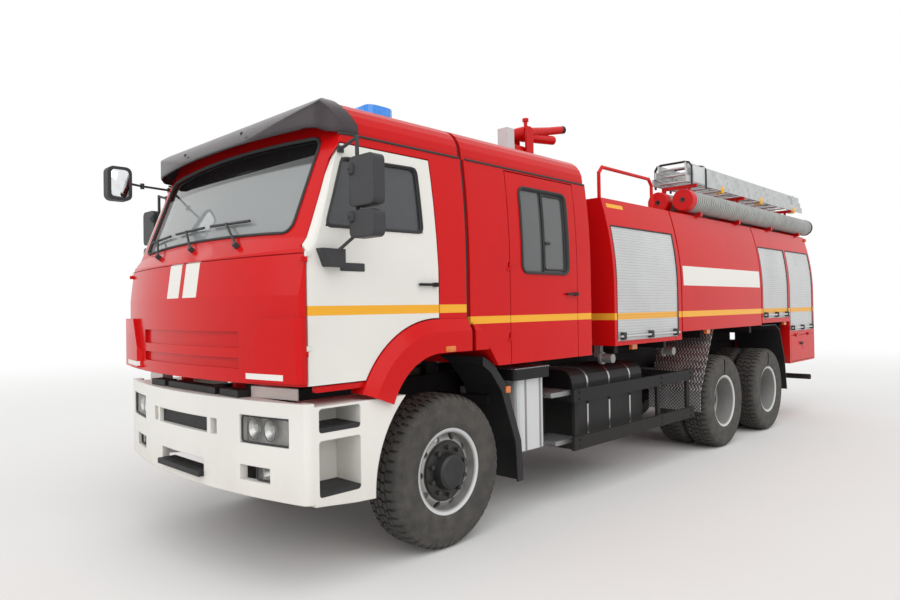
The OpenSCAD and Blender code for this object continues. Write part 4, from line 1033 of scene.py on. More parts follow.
    def rivet(self, spot: Point, out: Point, radius: float = 0.006) -> "Forge":
        """Adds a domed rivet head that stands out of a surface."""
        profile = [(radius, -radius * 0.3), (radius * 0.92, radius * 0.2)]
        profile += [(radius * 0.55, radius * 0.45), (radius * 0.1, radius * 0.52)]
        return self.spun(profile, spot, out, 10)

    def bolt(self, spot: Point, out: Point, radius: float = 0.012) -> "Forge":
        """Adds a hexagon bolt head on a washer."""
        washer = [(radius * 1.45, -0.001), (radius * 1.45, radius * 0.16), (radius * 1.3, radius * 0.22)]
        head = [(radius, 0.0), (radius, radius * 0.7), (radius * 0.85, radius * 0.85)]
        return self.spun(washer, spot, out, 16).spun(head, spot, out, 6)

    def patch(self, rows: Sequence[Sequence[Point]]) -> "Forge":
        """Adds an open sheet through rows of points."""
        self.skin([[Vector(p) for p in row] for row in rows], closed=False)
        return self

    def piece(
        self, finish: Finish, body: str, slot: str | None = None, smooth: float = 35.0
    ) -> bpy.types.Object:
        """Makes the object.

        Args:
            finish: its finish.
            body: the body that it rides on.
            slot: the record's material slot that the finish stands for; it is not used.
            smooth: the angle up to which faces blend, in degrees.

        Returns:
            The piece.
        """
        bmesh.ops.recalc_face_normals(self.mesh, faces=self.mesh.faces[:])
        data = bpy.data.meshes.new(self.name)
        self.mesh.to_mesh(data)
        self.mesh.free()
        data.materials.append(finish.make())
        made = bpy.data.objects.new(self.name, data)
        bpy.context.scene.collection.objects.link(made)
        shade(data, smooth)
        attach(made, body)
        LOG.info("%s: %d faces on %s", self.name, len(data.polygons), body)
        return made


def shade(data: bpy.types.Mesh, angle: float) -> None:
    """Blends faces that meet at less than an angle, in degrees."""
    data.shade_smooth()
    data.set_sharp_from_angle(angle=math.radians(angle))


def arc(x: float, z: float, radius: float, start: float, end: float, count: int) -> Pairs:
    """Points on an arc, with its angles in degrees."""
    steps = (math.radians(start + (end - start) * i / count) for i in range(count + 1))
    return [(x + radius * math.cos(a), z + radius * math.sin(a)) for a in steps]


def rounded_outline(low: Point, high: Point, radius: float, count: int = 5) -> Pairs:
    """The outline of a rectangle with round corners.

    Args:
        low: its lowest corner.
        high: its highest corner.
        radius: the corners' radius.
        count: how many steps each corner has.

    Returns:
        Its points, in order.
    """
    spots = ((high[0], high[1], 0), (low[0], high[1], 90), (low[0], low[1], 180), (high[0], low[1], 270))
    points: list[tuple[float, float]] = []
    for x, z, turn in spots:
        cx = x - radius if x == high[0] else x + radius
        cz = z - radius if z == high[1] else z + radius
        points += arc(cx, cz, radius, turn, turn + 90, count)
    return points


# The surfaces of the cabs and the body


@dataclass(frozen=True)
class Flank:
    """A side that stands upright up to a bend and leans in on an arc above it, in metres."""

    half: float = 1.25
    bend_z: float = 1.85
    bend_r: float = 2.85

    def skin_y(self, z: float) -> float:
        """How far out the side is at a height."""
        if z <= self.bend_z:
            return self.half
        return self.half - self.bend_r + math.sqrt(self.bend_r ** 2 - (z - self.bend_z) ** 2)


@dataclass(frozen=True)
class CabForm(Flank):
    """The lines that the cabs' skins follow, in metres from the front axle."""

    half: float = 1.235
    bend_z: float = 2.0
    bend_r: float = 6.0
    screen_x: float = 1.262
    screen_z: float = 2.150
    lean: float = math.radians(21.2)
    screen_r: float = 7.6

    def on_screen(self, y: float, up: float, out: float = 0.0) -> Vector:
        """A point on the windscreen's curve.

        Args:
            y: how far it is from the middle.
            up: how far up along the glass it is from the foot.
            out: how far it stands off the glass.

        Returns:
            The point, in the part's frame.
        """
        bow = out - y * y / (2 * self.screen_r)
        x = self.screen_x + bow * math.cos(self.lean) - up * math.sin(self.lean)
        return at(x, y, self.screen_z + bow * math.sin(self.lean) + up * math.cos(self.lean))


CAB = CabForm()
BODY = Flank()


# Sub-assemblies


@dataclass
class Skins:
    """Gives every node of the frame its finish."""

    finishes: dict[str, Finish] = field(
        default_factory=lambda: {
            "cab_shell": LIVERY.cab_red,
            "front_panel": LIVERY.cab_red,
            "wheel_flares": LIVERY.cab_red,
            "crew_cab": LIVERY.crew_red,
            "crew_door": LIVERY.crew_red,
            "cab_door": LIVERY.door_white,
            "cab_glass": LIVERY.pane,
            "crew_glass": LIVERY.crew_pane,
            "windscreen": LIVERY.screen,
            "body_shell": LIVERY.body_red,
            "locker_lid": LIVERY.plain_red,
            "roof_rails": LIVERY.plain_red,
            "monitor": LIVERY.monitor_red,
            "bumper": LIVERY.bumper_white,
            "front_treads": LIVERY.step_black,
            "front_lamps": LIVERY.lens,
            "fuel_tank": LIVERY.tank_black,
            "side_tank": LIVERY.silver,
            "access_steps": LIVERY.chequer,
            "side_guards": LIVERY.black_steel,
            "mudguards": LIVERY.guard_black,
            "cab_seal": LIVERY.rubber,
            "crew_bench": LIVERY.charcoal,
            "cab_interior": LIVERY.charcoal,
            "cab_seats": LIVERY.charcoal,
            "shutters": LIVERY.slats,
            "hose_cases": LIVERY.ribbed,
            "ladder": LIVERY.rung,
            "sun_visor": LIVERY.smoke,
            "light_bar": LIVERY.blue,
            "cab_fittings": LIVERY.charcoal,
            "mirror": LIVERY.mirror_black,
            "marker_lamps": LIVERY.amber,
            "couplings": LIVERY.dull,
            "frame": LIVERY.black_steel,
            "axles": LIVERY.black_steel,
            "knuckle": LIVERY.black_steel,
            "driveline": LIVERY.casting,
            "tyre": LIVERY.tread,
            "rim": LIVERY.wheel_silver,
        }
    )

    def finish_of(self, node: str) -> Finish:
        """The finish of the longest name that a node's name starts with."""
        names = [n for n in self.finishes if node.startswith(n)]
        return self.finishes[max(names, key=len)]

    def dress(self) -> None:
        """Puts the finishes on."""
        for name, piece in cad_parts.items():
            piece.data.materials.clear()
            piece.data.materials.append(self.finish_of(name).make())
            LOG.info("%s dressed as %s", name, self.finish_of(name).name)


@dataclass
class TyreTreads:
    """Turned tyre walls with separate tread blocks, for single and twin wheels."""

    radius: float = 0.538
    half: float = 0.156
    rim: float = 0.3015
    depth: float = 0.014
    pitches: int = 52
    rear_y: float = 0.930
    front_y: float = 1.020
    twin: float = 0.171
    around: int = 96
    axles: dict[str, float] = field(default_factory=lambda: {"front": 0.0, "mid": -4.6, "rear": -6.04})

    def wall(self) -> Pairs:
        """The section from the inner bead over the tread base to the outer bead."""
        r, h, base = self.rim, self.half, self.radius - self.depth
        one = [(r - 0.017, -0.128), (r + 0.008, -0.1455), (r + 0.02, -0.148), (r + 0.028, -0.1515)]
        one += [(r + 0.06, -h + 0.003), (r + 0.1, -h), (0.448, -h), (0.452, -h - 0.001)]
        one += [(0.468, -h + 0.0005), (0.49, -h + 0.006), (0.508, -h + 0.013)]
        one += [(base - 0.002, -h + 0.03), (base, -h + 0.045)]
        inside = [(r - 0.02, -0.12), (r + 0.02, -0.118), (r + 0.04, -0.1)]
        inside += [(r + 0.04, 0.1), (r + 0.02, 0.118), (r - 0.02, 0.12)]
        other = [(p, -q) for p, q in reversed(one)]
        return one + other + list(reversed(inside))

    def block(self, forge: Forge, turn: float, width: Point, span: float, skew: float) -> None:
        """Adds one tread block.

        Args:
            forge: where it goes.
            turn: its angle round the wheel.
            width: from where to where it lies across the tyre.
            span: its angle along the tread.
            skew: how far its outer end is turned on.
        """
        low, high = self.radius - self.depth - 0.002, self.radius
        rings = []
        for r, draw in ((low, 0.0), (high, 0.0022)):
            a0, a1 = turn - span / 2 + draw / r, turn + span / 2 - draw / r
            near, far = width[0] + draw, width[1] - draw
            corners = [(a0, near), (a1, near), (a1 + skew, far), (a0 + skew, far)]
            rings.append([Vector((math.sin(a) * r, y, math.cos(a) * r)) for a, y in corners])
        forge.skin(rings)

    def shoulder(self, forge: Forge, turn: float, span: float, side: int) -> None:
        """Adds a shoulder block that wraps onto the wall.

        Args:
            forge: where it goes.
            turn: its angle round the wheel.
            span: its angle along the tread.
            side: 1 or -1, for the wall that it wraps onto.
        """
        section = [(0.070, 0.538), (0.098, 0.5375), (0.121, 0.5325), (0.1455, 0.511), (0.1525, 0.489)]
        under = [(0.140, 0.487), (0.120, 0.515), (0.070, 0.520)]
        rings = []
        for a in (turn - span / 2, turn + span / 2):
            rings.append([Vector((math.sin(a) * r, y * side, math.cos(a) * r)) for y, r in section + under])
        forge.skin(rings)

    def mesh(self, name: str, planes: Iterable[float]) -> Forge:
        """Builds one wheel's rubber about the wheel's centre.

        Args:
            name: the piece's name.
            planes: where its tyres are along the axle.

        Returns:
            The forge that holds it.
        """
        forge = Forge(name)
        step = math.tau / self.pitches
        for plane in planes:
            start = len(forge.mesh.verts)
            profile = self.wall()
            rings = []
            for k in range(self.around):
                a = math.tau * k / self.around
                rings.append([Vector((math.sin(a) * r, y, math.cos(a) * r)) for r, y in profile])
            rings.append(rings[0])
            forge.skin(rings, caps=False)
            for k in range(self.pitches):
                a = k * step
                for side in (-1, 1):
                    self.shoulder(forge, a + side * step * 0.12, step * 0.70, side)
                    width = (-0.062, -0.027) if side < 0 else (0.027, 0.062)
                    self.block(forge, a + step * 0.3, width, step * 0.82, side * step * 0.1)
                self.block(forge, a, (-0.020, 0.020), step * 0.8, step * 0.18)
            forge.mesh.verts.ensure_lookup_table()
            fresh = forge.mesh.verts[start:]
            bmesh.ops.remove_doubles(forge.mesh, verts=fresh, dist=WELD)
            forge.mesh.verts.ensure_lookup_table()
            bmesh.ops.translate(forge.mesh, vec=(0, plane, 0), verts=forge.mesh.verts[start:])
        return forge

    def build(self) -> None:
        """Builds a wheel's rubber at every hub."""
        single, twins = (
            self.mesh(f"tread_{axle}_left", planes).piece(LIVERY.tread, f"wheel_{axle}_left", "tyre", 30)
            for axle, planes in (("front", [0.0]), ("mid", [-self.twin, self.twin]))
        )
        for axle, x in self.axles.items():
            for sign, side in SIDES:
                body = f"wheel_{axle}_{side}"
                first = single if axle == "front" else twins
                made = first if first.name == f"tread_{axle}_{side}" else first.copy()
                made.name = f"tread_{axle}_{side}"
                if made is not first:
                    bpy.context.scene.collection.objects.link(made)
                    made.parent = None
                out = self.front_y if axle == "front" else self.rear_y
                made.matrix_world = Matrix.Translation(at(x, sign * out, self.radius))
                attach(made, body)
                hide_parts(f"tyre_{axle}_{side}")
                LOG.info("%s on %s", made.name, body)


@dataclass
class WindowTrim:
    """Rubber frames, dividers and channels round the cab's glass."""

    width: float = 0.009
    door_window: tuple[Point, ...] = ((1.078, 2.175), (0.935, 2.605), (0.320, 2.620), (0.292, 2.185))
    crew_low: tuple[float, float] = (-1.400, 1.955)
    crew_high: tuple[float, float] = (-0.775, 2.625)
    screen_low: float = 0.022
    screen_high: float = 0.672
    screen_half: float = 1.040
    gutter_z: float = 2.757

    def on_side(self, points: Sequence[Point], sign: int, out: float = 0.0) -> list[Vector]:
        """Lays points, given along and up, onto a side of the cabs."""
        return [at(x, sign * (CAB.skin_y(z) + out), z) for x, z in points]

    def fine(self, points: Sequence[Point], step: float = 0.08) -> list[Point]:
        """Adds points to a closed outline, so that it can bend.

        Args:
            points: its corners.
            step: the longest gap that is left.

        Returns:
            The finer outline.
        """
        out: list[Point] = []
        for a, b in zip(points, [*points[1:], points[0]]):
            count = max(1, int(math.dist(a, b) / step))
            for i in range(count):
                out.append((a[0] + (b[0] - a[0]) * i / count, a[1] + (b[1] - a[1]) * i / count))
        return out

    def rounded(self, points: Sequence[Point], radius: float) -> list[Point]:
        """Rounds the corners of a closed outline.

        Args:
            points: its corners.
            radius: how far from a corner its curve starts.

        Returns:
            The rounded outline.
        """
        out: list[Point] = []
        count = len(points)
        for i, p in enumerate(points):
            here = Vector(p)
            back = (Vector(points[i - 1]) - here).normalized() * radius
            on = (Vector(points[(i + 1) % count]) - here).normalized() * radius
            for t in (0, 0.25, 0.5, 0.75, 1.0):
                q = here + back * (1 - t) ** 2 + on * t ** 2
                out.append((q.x, q.y))
        return out

    def door(self, sign: int, side: str) -> None:
        """Builds the door window's black rubber frame and its inner lip.

        Args:
            sign: 1 on the left and -1 on the right.
            side: the side's name.
        """
        outline = self.fine(self.rounded(self.door_window, 0.045))
        forge = Forge(f"window_rubber_cab_{side}")
        forge.tube(self.on_side(outline, sign, 0.001), self.width, 8, True, 0.7)
        inner = [(x + (0.69 - x) * 0.02, z + (2.4 - z) * 0.03) for x, z in outline]
        forge.tube(self.on_side(inner, sign, -0.006), 0.008, 6, True)
        forge.piece(LIVERY.rubber, f"cab_door_{side}", "rubber")

    def crew(self, sign: int, side: str) -> None:
        """Builds the crew window's frame, its middle divider and its latch.

        Args:
            sign: 1 on the left and -1 on the right.
            side: the side's name.
        """
        outline = self.fine(rounded_outline(self.crew_low, self.crew_high, 0.06))
        forge = Forge(f"window_rubber_crew_{side}")
        forge.tube(self.on_side(outline, sign, 0.0), 0.016, 8, True, 0.7)
        middle = (self.crew_low[0] + self.crew_high[0]) / 2 + 0.02
        up = [self.crew_low[1] + (self.crew_high[1] - self.crew_low[1]) * i / 8 for i in range(9)]
        forge.tube([at(middle, sign * (CAB.skin_y(z) - 0.008), z) for z in up], 0.011, 8, False, 0.6)
        latch = at(middle - 0.05, sign * (CAB.skin_y(2.2) + 0.002), 2.2)
        forge.box(latch + Vector((-0.03, -0.008, -0.012)), latch + Vector((0.03, 0.008, 0.012)), 0.004)
        low = (self.crew_low[0] + 0.03, self.crew_low[1] + 0.03)
        inner = self.fine(rounded_outline(low, (middle - 0.016, self.crew_high[1] - 0.03), 0.03))
        forge.tube(self.on_side(inner, sign, -0.010), 0.008, 6, True)
        forge.piece(LIVERY.rubber, f"crew_door_{side}", "rubber")

    def screen(self) -> None:
        """The windscreen's rubber, on the curve of the glass."""
        points: list[Vector] = []
        corner = 0.075
        low, high = (-self.screen_half, self.screen_low), (self.screen_half, self.screen_high)
        flat = rounded_outline(low, high, corner)
        for y, up in self.fine(flat, 0.1):
            points.append(CAB.on_screen(y, up, 0.001))
        Forge("windscreen_rubber").tube(points, 0.012, 8, True, 0.8).piece(LIVERY.rubber, "cab", "rubber")

    def gutters(self) -> None:
        """Dark gutter strips above the doors of both cabs."""
        for sign, side in SIDES:
            y = sign * (CAB.skin_y(2.755) + 0.001)
            path = [at(0.945, y, 2.752), at(0.86, y, self.gutter_z), at(-0.11, y, self.gutter_z)]
            Forge(f"gutter_cab_{side}").tube(path, 0.0085, 6).piece(LIVERY.rubber, "cab", "rubber")
            path = [at(-0.18, y, self.gutter_z), at(-1.735, y, self.gutter_z)]
            Forge(f"gutter_crew_{side}").tube(path, 0.0085, 6).piece(LIVERY.rubber, "chassis", "rubber")

    def build(self) -> None:
        """Builds all window trim."""
        for sign, side in SIDES:
            self.door(sign, side)
            self.crew(sign, side)
        self.screen()
        self.gutters()


@dataclass
class CabFurniture:
    """Small things on the cab: mirror glass and clamps, door plates, marker lamps and sills."""

    plate_low: tuple[float, float] = (0.795, 1.915)
    plate_high: tuple[float, float] = (0.980, 1.965)
    back_x: float = 0.922
    arm_y: float = 1.383
    clamp_zs: tuple[float, float] = (2.494, 2.218)
    heads: dict[str, tuple[float, float, float, float]] = field(
        default_factory=lambda: {"main": (1.378, 1.569, 2.292, 2.548), "wide": (1.378, 1.569, 2.112, 2.235)}
    )

    def mirrors(self) -> None:
        """Silvered glass in the back of each mirror head, and the clamps on the arms."""
        for sign, side in SIDES:
            for name, (y0, y1, z0, z1) in self.heads.items():
                low, high = (y0, y1) if sign > 0 else (-y1, -y0)
                outline = rounded_outline((low, z0), (high, z1), 0.03)
                forge = Forge(f"mirror_glass_{name}_{side}")
                back = self.back_x + AXLE_X
                forge.prism(outline, Axis.X, back - 0.003, back + 0.002, 0.001)
                forge.piece(LIVERY.mirror, f"cab_door_{side}", None)
            clamps = Forge(f"mirror_clamps_{side}")
            collar = [(0.012, -0.034), (0.024, -0.024), (0.026, 0.0), (0.024, 0.024), (0.012, 0.034)]
            for z in self.clamp_zs:
                clamps.spun(collar, at(0.998, sign * self.arm_y, z), (0, 0, 1), 16)
                clamps.bolt(at(1.022, sign * self.arm_y, z), (1, 0, 0), 0.008)
            clamps.piece(LIVERY.charcoal, f"cab_door_{side}", "black_plastic")
        flat = rounded_outline((1.365 + AXLE_X, 2.58), (1.495 + AXLE_X, 2.79), 0.03)
        front = Forge("front_mirror_glass").prism(flat, Axis.Y, -0.9405, -0.9375, 0.001)
        front.piece(LIVERY.mirror, "cab", None)

    def plates(self) -> None:
        """The bare dark plate on each door, with its two screws."""
        for sign, side in SIDES:
            out = sign * (CAB.half + 0.0005)
            forge = Forge(f"door_plate_{side}")
            flat = rounded_outline(self.plate_low, self.plate_high, 0.006, 3)
            forge.prism([(x + AXLE_X, z) for x, z in flat], Axis.Y, out, out + sign * 0.004, 0.001)
            for x in (self.plate_low[0] + 0.01, self.plate_high[0] - 0.01):
                forge.rivet(at(x, out + sign * 0.004, 1.94), (0, sign, 0), 0.004)
            forge.piece(LIVERY.charcoal, f"cab_door_{side}", "black_plastic")

    def markers(self) -> None:
        """Amber repeaters on the flares and markers on the mudguards."""
        flare = rounded_outline((0.05 + AXLE_X, 1.386), (0.147 + AXLE_X, 1.426), 0.01, 3)
        guard = rounded_outline((-0.64 + AXLE_X, 1.03), (-0.585 + AXLE_X, 1.08), 0.008, 3)
        for sign, side in SIDES:
            # The flare leans back above its widest line, so the lamp's foot is sunk in it
            out = sign * 1.2855 + sign * 0.008
            repeater = Forge(f"repeater_{side}").prism(flare, Axis.Y, sign * 1.235, out, 0.003)
            repeater.piece(LIVERY.amber, "cab", "amber_lens")
            marker = Forge(f"guard_marker_{side}").prism(guard, Axis.Y, sign * 1.19, sign * 1.208, 0.002)
            marker.piece(LIVERY.amber, "chassis", "amber_lens")

    def sills(self) -> None:
        """Red sills under the cab's doors."""
        for sign, side in SIDES:
            sill = Forge(f"sill_{side}")
            sill.box(at(0.75, sign * 1.175, 1.205), at(1.15, sign * 1.222, 1.243), 0.008)
            sill.piece(LIVERY.plain_red, "cab", "red_paint")

    def build(self) -> None:
        """Builds the cab's small things."""
        self.sills()
        self.mirrors()
        self.plates()
        self.markers()


@dataclass
class VisorTrim:
    """A rolled lip and four bolts on the smoked sun visor."""

    lip_x: float = 1.160
    lip_z: float = 2.797
    lip_half: float = 0.98
    crown: float = 5.2
    bolt_z: float = 2.872
    bolt_ys: tuple[float, ...] = (-0.93, -0.49, 0.37, 0.93)

    def build(self) -> None:
        """Builds the visor's trim."""
        lip: list[Vector] = []
        for i in range(-20, 21):
            y = i / 20 * self.lip_half
            lip.append(at(self.lip_x - y * y / (2 * self.crown) - 0.004, y, self.lip_z))
        Forge("visor_lip").tube(lip, 0.006, 8).piece(LIVERY.charcoal, "cab", "black_plastic")
        bolts = Forge("visor_bolts")
        for y in self.bolt_ys:
            x = self.lip_x - y * y / (2 * self.crown)
            bolts.bolt(at(x - 0.018, y, self.bolt_z), (1, 0, 0.36), 0.009)
        bolts.piece(LIVERY.rubber, "cab", "black_plastic")


@dataclass
class Headlamps:
    """Reflector bowls, rims and dark backs behind the bumper's lenses."""

    front_x: float = 1.399
    bow_r: float = 4.7
    lamp_ys: tuple[float, float] = (0.785, 0.925)
    lamp_r: float = 0.062
    lamp_z: float = 0.975
    fog_z: float = 0.713

    def face_x(self, y: float) -> float:
        """How far forward the bumper's face is, at a distance from the middle."""
        return self.front_x - y * y / (2 * self.bow_r)

    def bowl(self, forge: Forge, y: float, z: float, x: float, radius: float, deep: float) -> None:
        """Adds a reflector that opens forward.

        Args:
            forge: where it goes.
            y: its middle across the truck.
            z: its middle's height.
            x: where its back is.
            radius: its radius at the front.
            deep: how deep it is.
        """
        steps = [i / 8 for i in range(9)]
        profile = [(max(0.004, radius * t), deep * t * t) for t in steps]
        profile += [(radius + 0.006, deep), (radius + 0.006, deep - 0.006), (0.004, -0.006)]
        forge.spun(profile, at(x, y, z), (1, 0, 0), 28)

    def build(self) -> None:
        """Builds both lamp sets."""
        for sign, side in SIDES:
            forge = Forge(f"reflectors_{side}")
            for y in self.lamp_ys:
                bow = (y * y) / (2 * self.bow_r)
                self.bowl(forge, sign * y, self.lamp_z, 1.335 - bow, self.lamp_r, 0.030)
            plate = [(sign * y, z) for y, z in ((1.0, 0.92), (1.085, 0.92), (1.085, 1.035), (1.0, 1.035))]
            forge.prism(plate, Axis.X, 1.205 + AXLE_X, 1.215 + AXLE_X, 0.002)
            self.bowl(forge, sign * 0.888, self.fog_z, 1.245, 0.036, 0.03)
            forge.piece(LIVERY.bright, "chassis", None)
            rims = Forge(f"lamp_rims_{side}")
            lamp, fog = ((0.707, 0.897), (1.105, 1.053), 0.012), ((0.818, 0.674), (0.956, 0.752), 0.026)
            for low, high, sunk in (lamp, fog):
                outline = WindowTrim().fine(rounded_outline(low, high, 0.02, 4), 0.05)
                rims.tube([at(self.face_x(y) - sunk, sign * y, z) for y, z in outline], 0.006, 6, True)
            for y in self.lamp_ys:
                hoop = [(0.063, 0.0), (0.0675, 0.0), (0.0675, 0.006), (0.063, 0.006)]
                rims.ring(hoop, at(self.face_x(y) - 0.036, sign * y, self.lamp_z), (1, 0, 0), 28)
            rims.piece(LIVERY.charcoal, "chassis", "black_plastic")
            backs = Forge(f"lamp_backs_{side}")
            lamp, fog = (0.701, 1.111, 0.891, 1.059, 0.078), (0.701, 0.961, 0.669, 0.757, 0.11)
            for y0, y1, z0, z1, deep in (lamp, fog):
                spots = [y0 + (y1 - y0) * i / 8 for i in range(9)]
                rows = [[at(max(1.192, self.face_x(y) - deep), sign * y, z) for y in spots] for z in (z0, z1)]
                backs.patch(rows)
            backs.piece(LIVERY.black_steel, "chassis", "black_metal")


@dataclass
class Cushion:
    """A stuffed pad: a crowned closed form with sewn channels across it."""

    centre: Vector
    half: tuple[float, float, float]
    lean: float = 0.0
    channels: tuple[float, ...] = (-0.45, 0.0, 0.45)
    square: float = 0.32
    crown: float = 0.5

    def add(self, forge: Forge, around: int = 96, up: int = 36) -> None:
        """Adds the pad to a piece.

        Args:
            forge: where it goes.
            around: how many faces go round.
            up: how many rows go from its back to its face.
        """

        def power(value: float, share: float) -> float:
            """A signed power."""
            return math.copysign(abs(value) ** share, value)

        a, b, h = self.half
        turn = Matrix.Rotation(self.lean, 4, "Y")
        rings = []
        for j in range(1, up):
            rise = -math.pi / 2 + math.pi * j / up
            ring = []
            for i in range(around):
                t = math.tau * i / around
                wide, high = power(math.cos(rise), self.crown), power(math.sin(rise), self.crown)
                u, v = power(math.cos(t), self.square), power(math.sin(t), self.square)
                pull = 1 - 0.035 * math.cos(2 * t) ** 2
                x, y, z = a * wide * u * pull, b * wide * v * pull, h * high
                if high > 0.2:
                    z += h * 0.22 * (1 - (x / a) ** 2) * (1 - (y / b) ** 2)
                    z -= sum(h * 0.22 * math.exp(-(((y / b) - c) * b / 0.009) ** 2) for c in self.channels)
                ring.append(self.centre + turn @ Vector((x, y, z)))
            rings.append(ring)
        forge.skin(rings)
        seam = []
        for i in range(64):
            t = math.tau * i / 64
            u, v = power(math.cos(t), self.square), power(math.sin(t), self.square)
            pull = 1 - 0.035 * math.cos(2 * t) ** 2
            spot = Vector(((a + 0.002) * u * pull, (b + 0.002) * v * pull, h * 0.3))
            seam.append(self.centre + turn @ spot)
        forge.tube(seam, 0.004, 6, True)


@dataclass
class Seats:
    """Three cab seats and the crew's bench, padded and sewn."""

    base_z: float = 1.6266
    seat_x: float = 0.370
    places: tuple[tuple[float, float], ...] = ((0.56, 0.52), (0.0, 0.42), (-0.56, 0.52))

    def cab(self) -> None:
        """The three seats' pads."""
        forge = Forge("seat_pads")
        lean = math.radians(-12)
        leant = Matrix.Rotation(lean, 4, "Y")
        for y, width in self.places:
            half = width / 2
            Cushion(at(self.seat_x + 0.01, y, self.base_z + 0.24), (0.25, half, 0.062)).add(forge)
            back = at(self.seat_x - 0.23, y, self.base_z + 0.24) + leant @ Vector((0.0, 0.0, 0.33))
            Cushion(back, (0.315, half, 0.058), lean + math.pi / 2).add(forge)
            head = at(self.seat_x - 0.362, y, self.base_z + 0.862) + leant @ Vector((0.0, 0.0, 0.091))
            Cushion(head, (0.1, 0.13, 0.045), lean + math.pi / 2, ()).add(forge, 48, 20)
        made = forge.piece(LIVERY.cloth, "cab", "cloth", 60)
        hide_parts("cab_seats")

    def crew(self) -> None:
        """The bench's pads and its boxed base."""
        forge = Forge("bench_pads")
        channels = tuple(i / 6 for i in range(-5, 6))
        Cushion(at(-1.41, 0.0, 1.68), (0.235, 1.08, 0.062), 0.0, channels, 0.16).add(forge, 160, 28)
        Cushion(at(-1.635, 0.0, 2.05), (0.335, 1.08, 0.056), math.pi / 2, channels, 0.16).add(forge, 160, 28)
        made = forge.piece(LIVERY.cloth, "chassis", "cloth", 60)
        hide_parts("crew_bench")
        base = Forge("bench_base").box(at(-1.62, -1.05, 1.2955), at(-1.24, 1.05, 1.62), 0.006)
        base.piece(LIVERY.charcoal, "chassis", "black_plastic")

    def build(self) -> None:
        """Builds all seats."""
        self.cab()
        self.crew()


